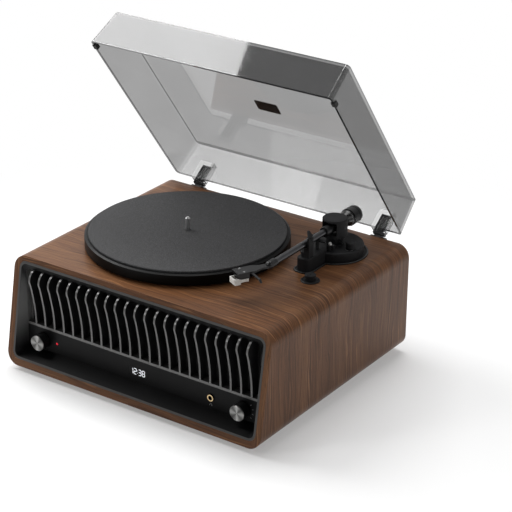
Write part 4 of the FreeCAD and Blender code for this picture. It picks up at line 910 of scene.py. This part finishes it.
def make_stage():
    """Pale floor that keeps the shadow near the part and is plain white further off."""
    made = Finish("floor_white")
    place = made.place()
    x, y, _ = made.split(place)
    far = made.span(made.length(x, y), shadow_radius, white_radius, 0.26, 1.0)
    path = made.add("LightPath").outputs
    seen = made.larger(path["Is Camera Ray"], path["Is Glossy Ray"], path["Is Transmission Ray"])
    cloud = made.noise(place, 3.0, 2.0)
    made.set(
        Base_Color=made.mix(cloud, (0.90, 0.90, 0.90, 1), (0.92, 0.92, 0.92, 1)),
        Roughness=0.6,
        Specular_IOR_Level=0.15,
    )
    white = made.add("Emission", {"Color": (1, 1, 1, 1), "Strength": 1.0}).outputs[0]
    layers = {0: made.times(far, seen), 1: made.surface.outputs[0], 2: white}
    blend = made.add("MixShader", layers).outputs[0]
    made.put(made.tree.nodes["Material Output"].inputs["Surface"], blend)
    mesh = bmesh.new()
    bmesh.ops.create_grid(mesh, x_segments=4, y_segments=4, size=floor_half)
    data = bpy.data.meshes.new("floor")
    mesh.to_mesh(data)
    mesh.free()
    data.materials.append(made.material)
    floor = bpy.data.objects.new("floor", data)
    bpy.context.scene.collection.objects.link(floor)


def make_world():
    """White to the camera and through glass; gloss mirrors one bright side and a dim room."""
    world = bpy.data.worlds.new("studio")
    bpy.context.scene.world = world
    world.use_nodes = True
    nodes = Nodes(world.node_tree)
    ways = {0: nodes.add("TexCoord").outputs["Generated"], 1: bright_side}
    heading = nodes.add("VectorMath", ways, operation="DOT_PRODUCT").outputs["Value"]
    path = nodes.add("LightPath").outputs
    brightest = nodes.span(path["Is Glossy Ray"], 0.0, 1.0, 0.66, 1.0)
    room = nodes.span(heading, 0.0, 0.95, 0.10, brightest)
    seen = nodes.larger(path["Is Camera Ray"], path["Is Transmission Ray"])
    strength = nodes.add("Mix", {0: seen, 2: room, 3: 1.0}).outputs[0]
    background = nodes.tree.nodes["Background"]
    nodes.put(background.inputs["Color"], (1, 1, 1, 1))
    nodes.put(background.inputs["Strength"], strength)


def make_lamp(name, place, target, width, height, power):
    """Soft rectangular lamp that faces a target."""
    data = bpy.data.lights.new(name, "AREA")
    data.shape = "RECTANGLE"
    data.size = width
    data.size_y = height
    data.energy = power
    lamp = bpy.data.objects.new(name, data)
    bpy.context.scene.collection.objects.link(lamp)
    lamp.location = place
    lamp.rotation_mode = "QUATERNION"
    lamp.rotation_quaternion = (Vector(target) - Vector(place)).to_track_quat("-Z", "Y")


def make_camera():
    """Camera at the photograph's place, direction, tilt and lens."""
    level = math.cos(camera_elevation)
    aside, ahead = math.sin(camera_azimuth) * level, math.cos(camera_azimuth) * level
    back = Vector((aside, -ahead, math.sin(camera_elevation)))
    right = (-back).cross(Vector((0, 0, 1))).normalized()
    up = right.cross(-back)
    across = right * math.cos(camera_roll) + up * math.sin(camera_roll)
    above = up * math.cos(camera_roll) - right * math.sin(camera_roll)
    data = bpy.data.cameras.new("camera")
    data.sensor_width = camera_sensor
    data.lens = camera_lens
    data.dof.use_dof = False
    camera = bpy.data.objects.new("camera", data)
    bpy.context.scene.collection.objects.link(camera)
    turned = Matrix((across, above, back)).transposed().to_4x4()
    camera.matrix_world = Matrix.Translation(camera_place) @ turned
    bpy.context.scene.camera = camera


bpy.context.scene.view_settings.view_transform = "Standard"
make_stage()
make_world()
make_lamp("key", (-1.66, 0.12, 1.92), (0.0, 0.0, 0.2), 1.4, 1.3, 50.0)
make_lamp("top", (-0.3, 0.75, 2.4), (0.0, 0.0, 0.0), 1.3, 1.1, 42.0)
make_lamp("right_fill", (2.4, 0.2, 1.5), (0.0, 0.0, 0.1), 1.6, 1.6, 12.0)
make_lamp("front_fill", (-1.25, -1.95, 1.15), (0.0, -0.2, 0.1), 0.45, 0.45, 9.0)
make_camera()
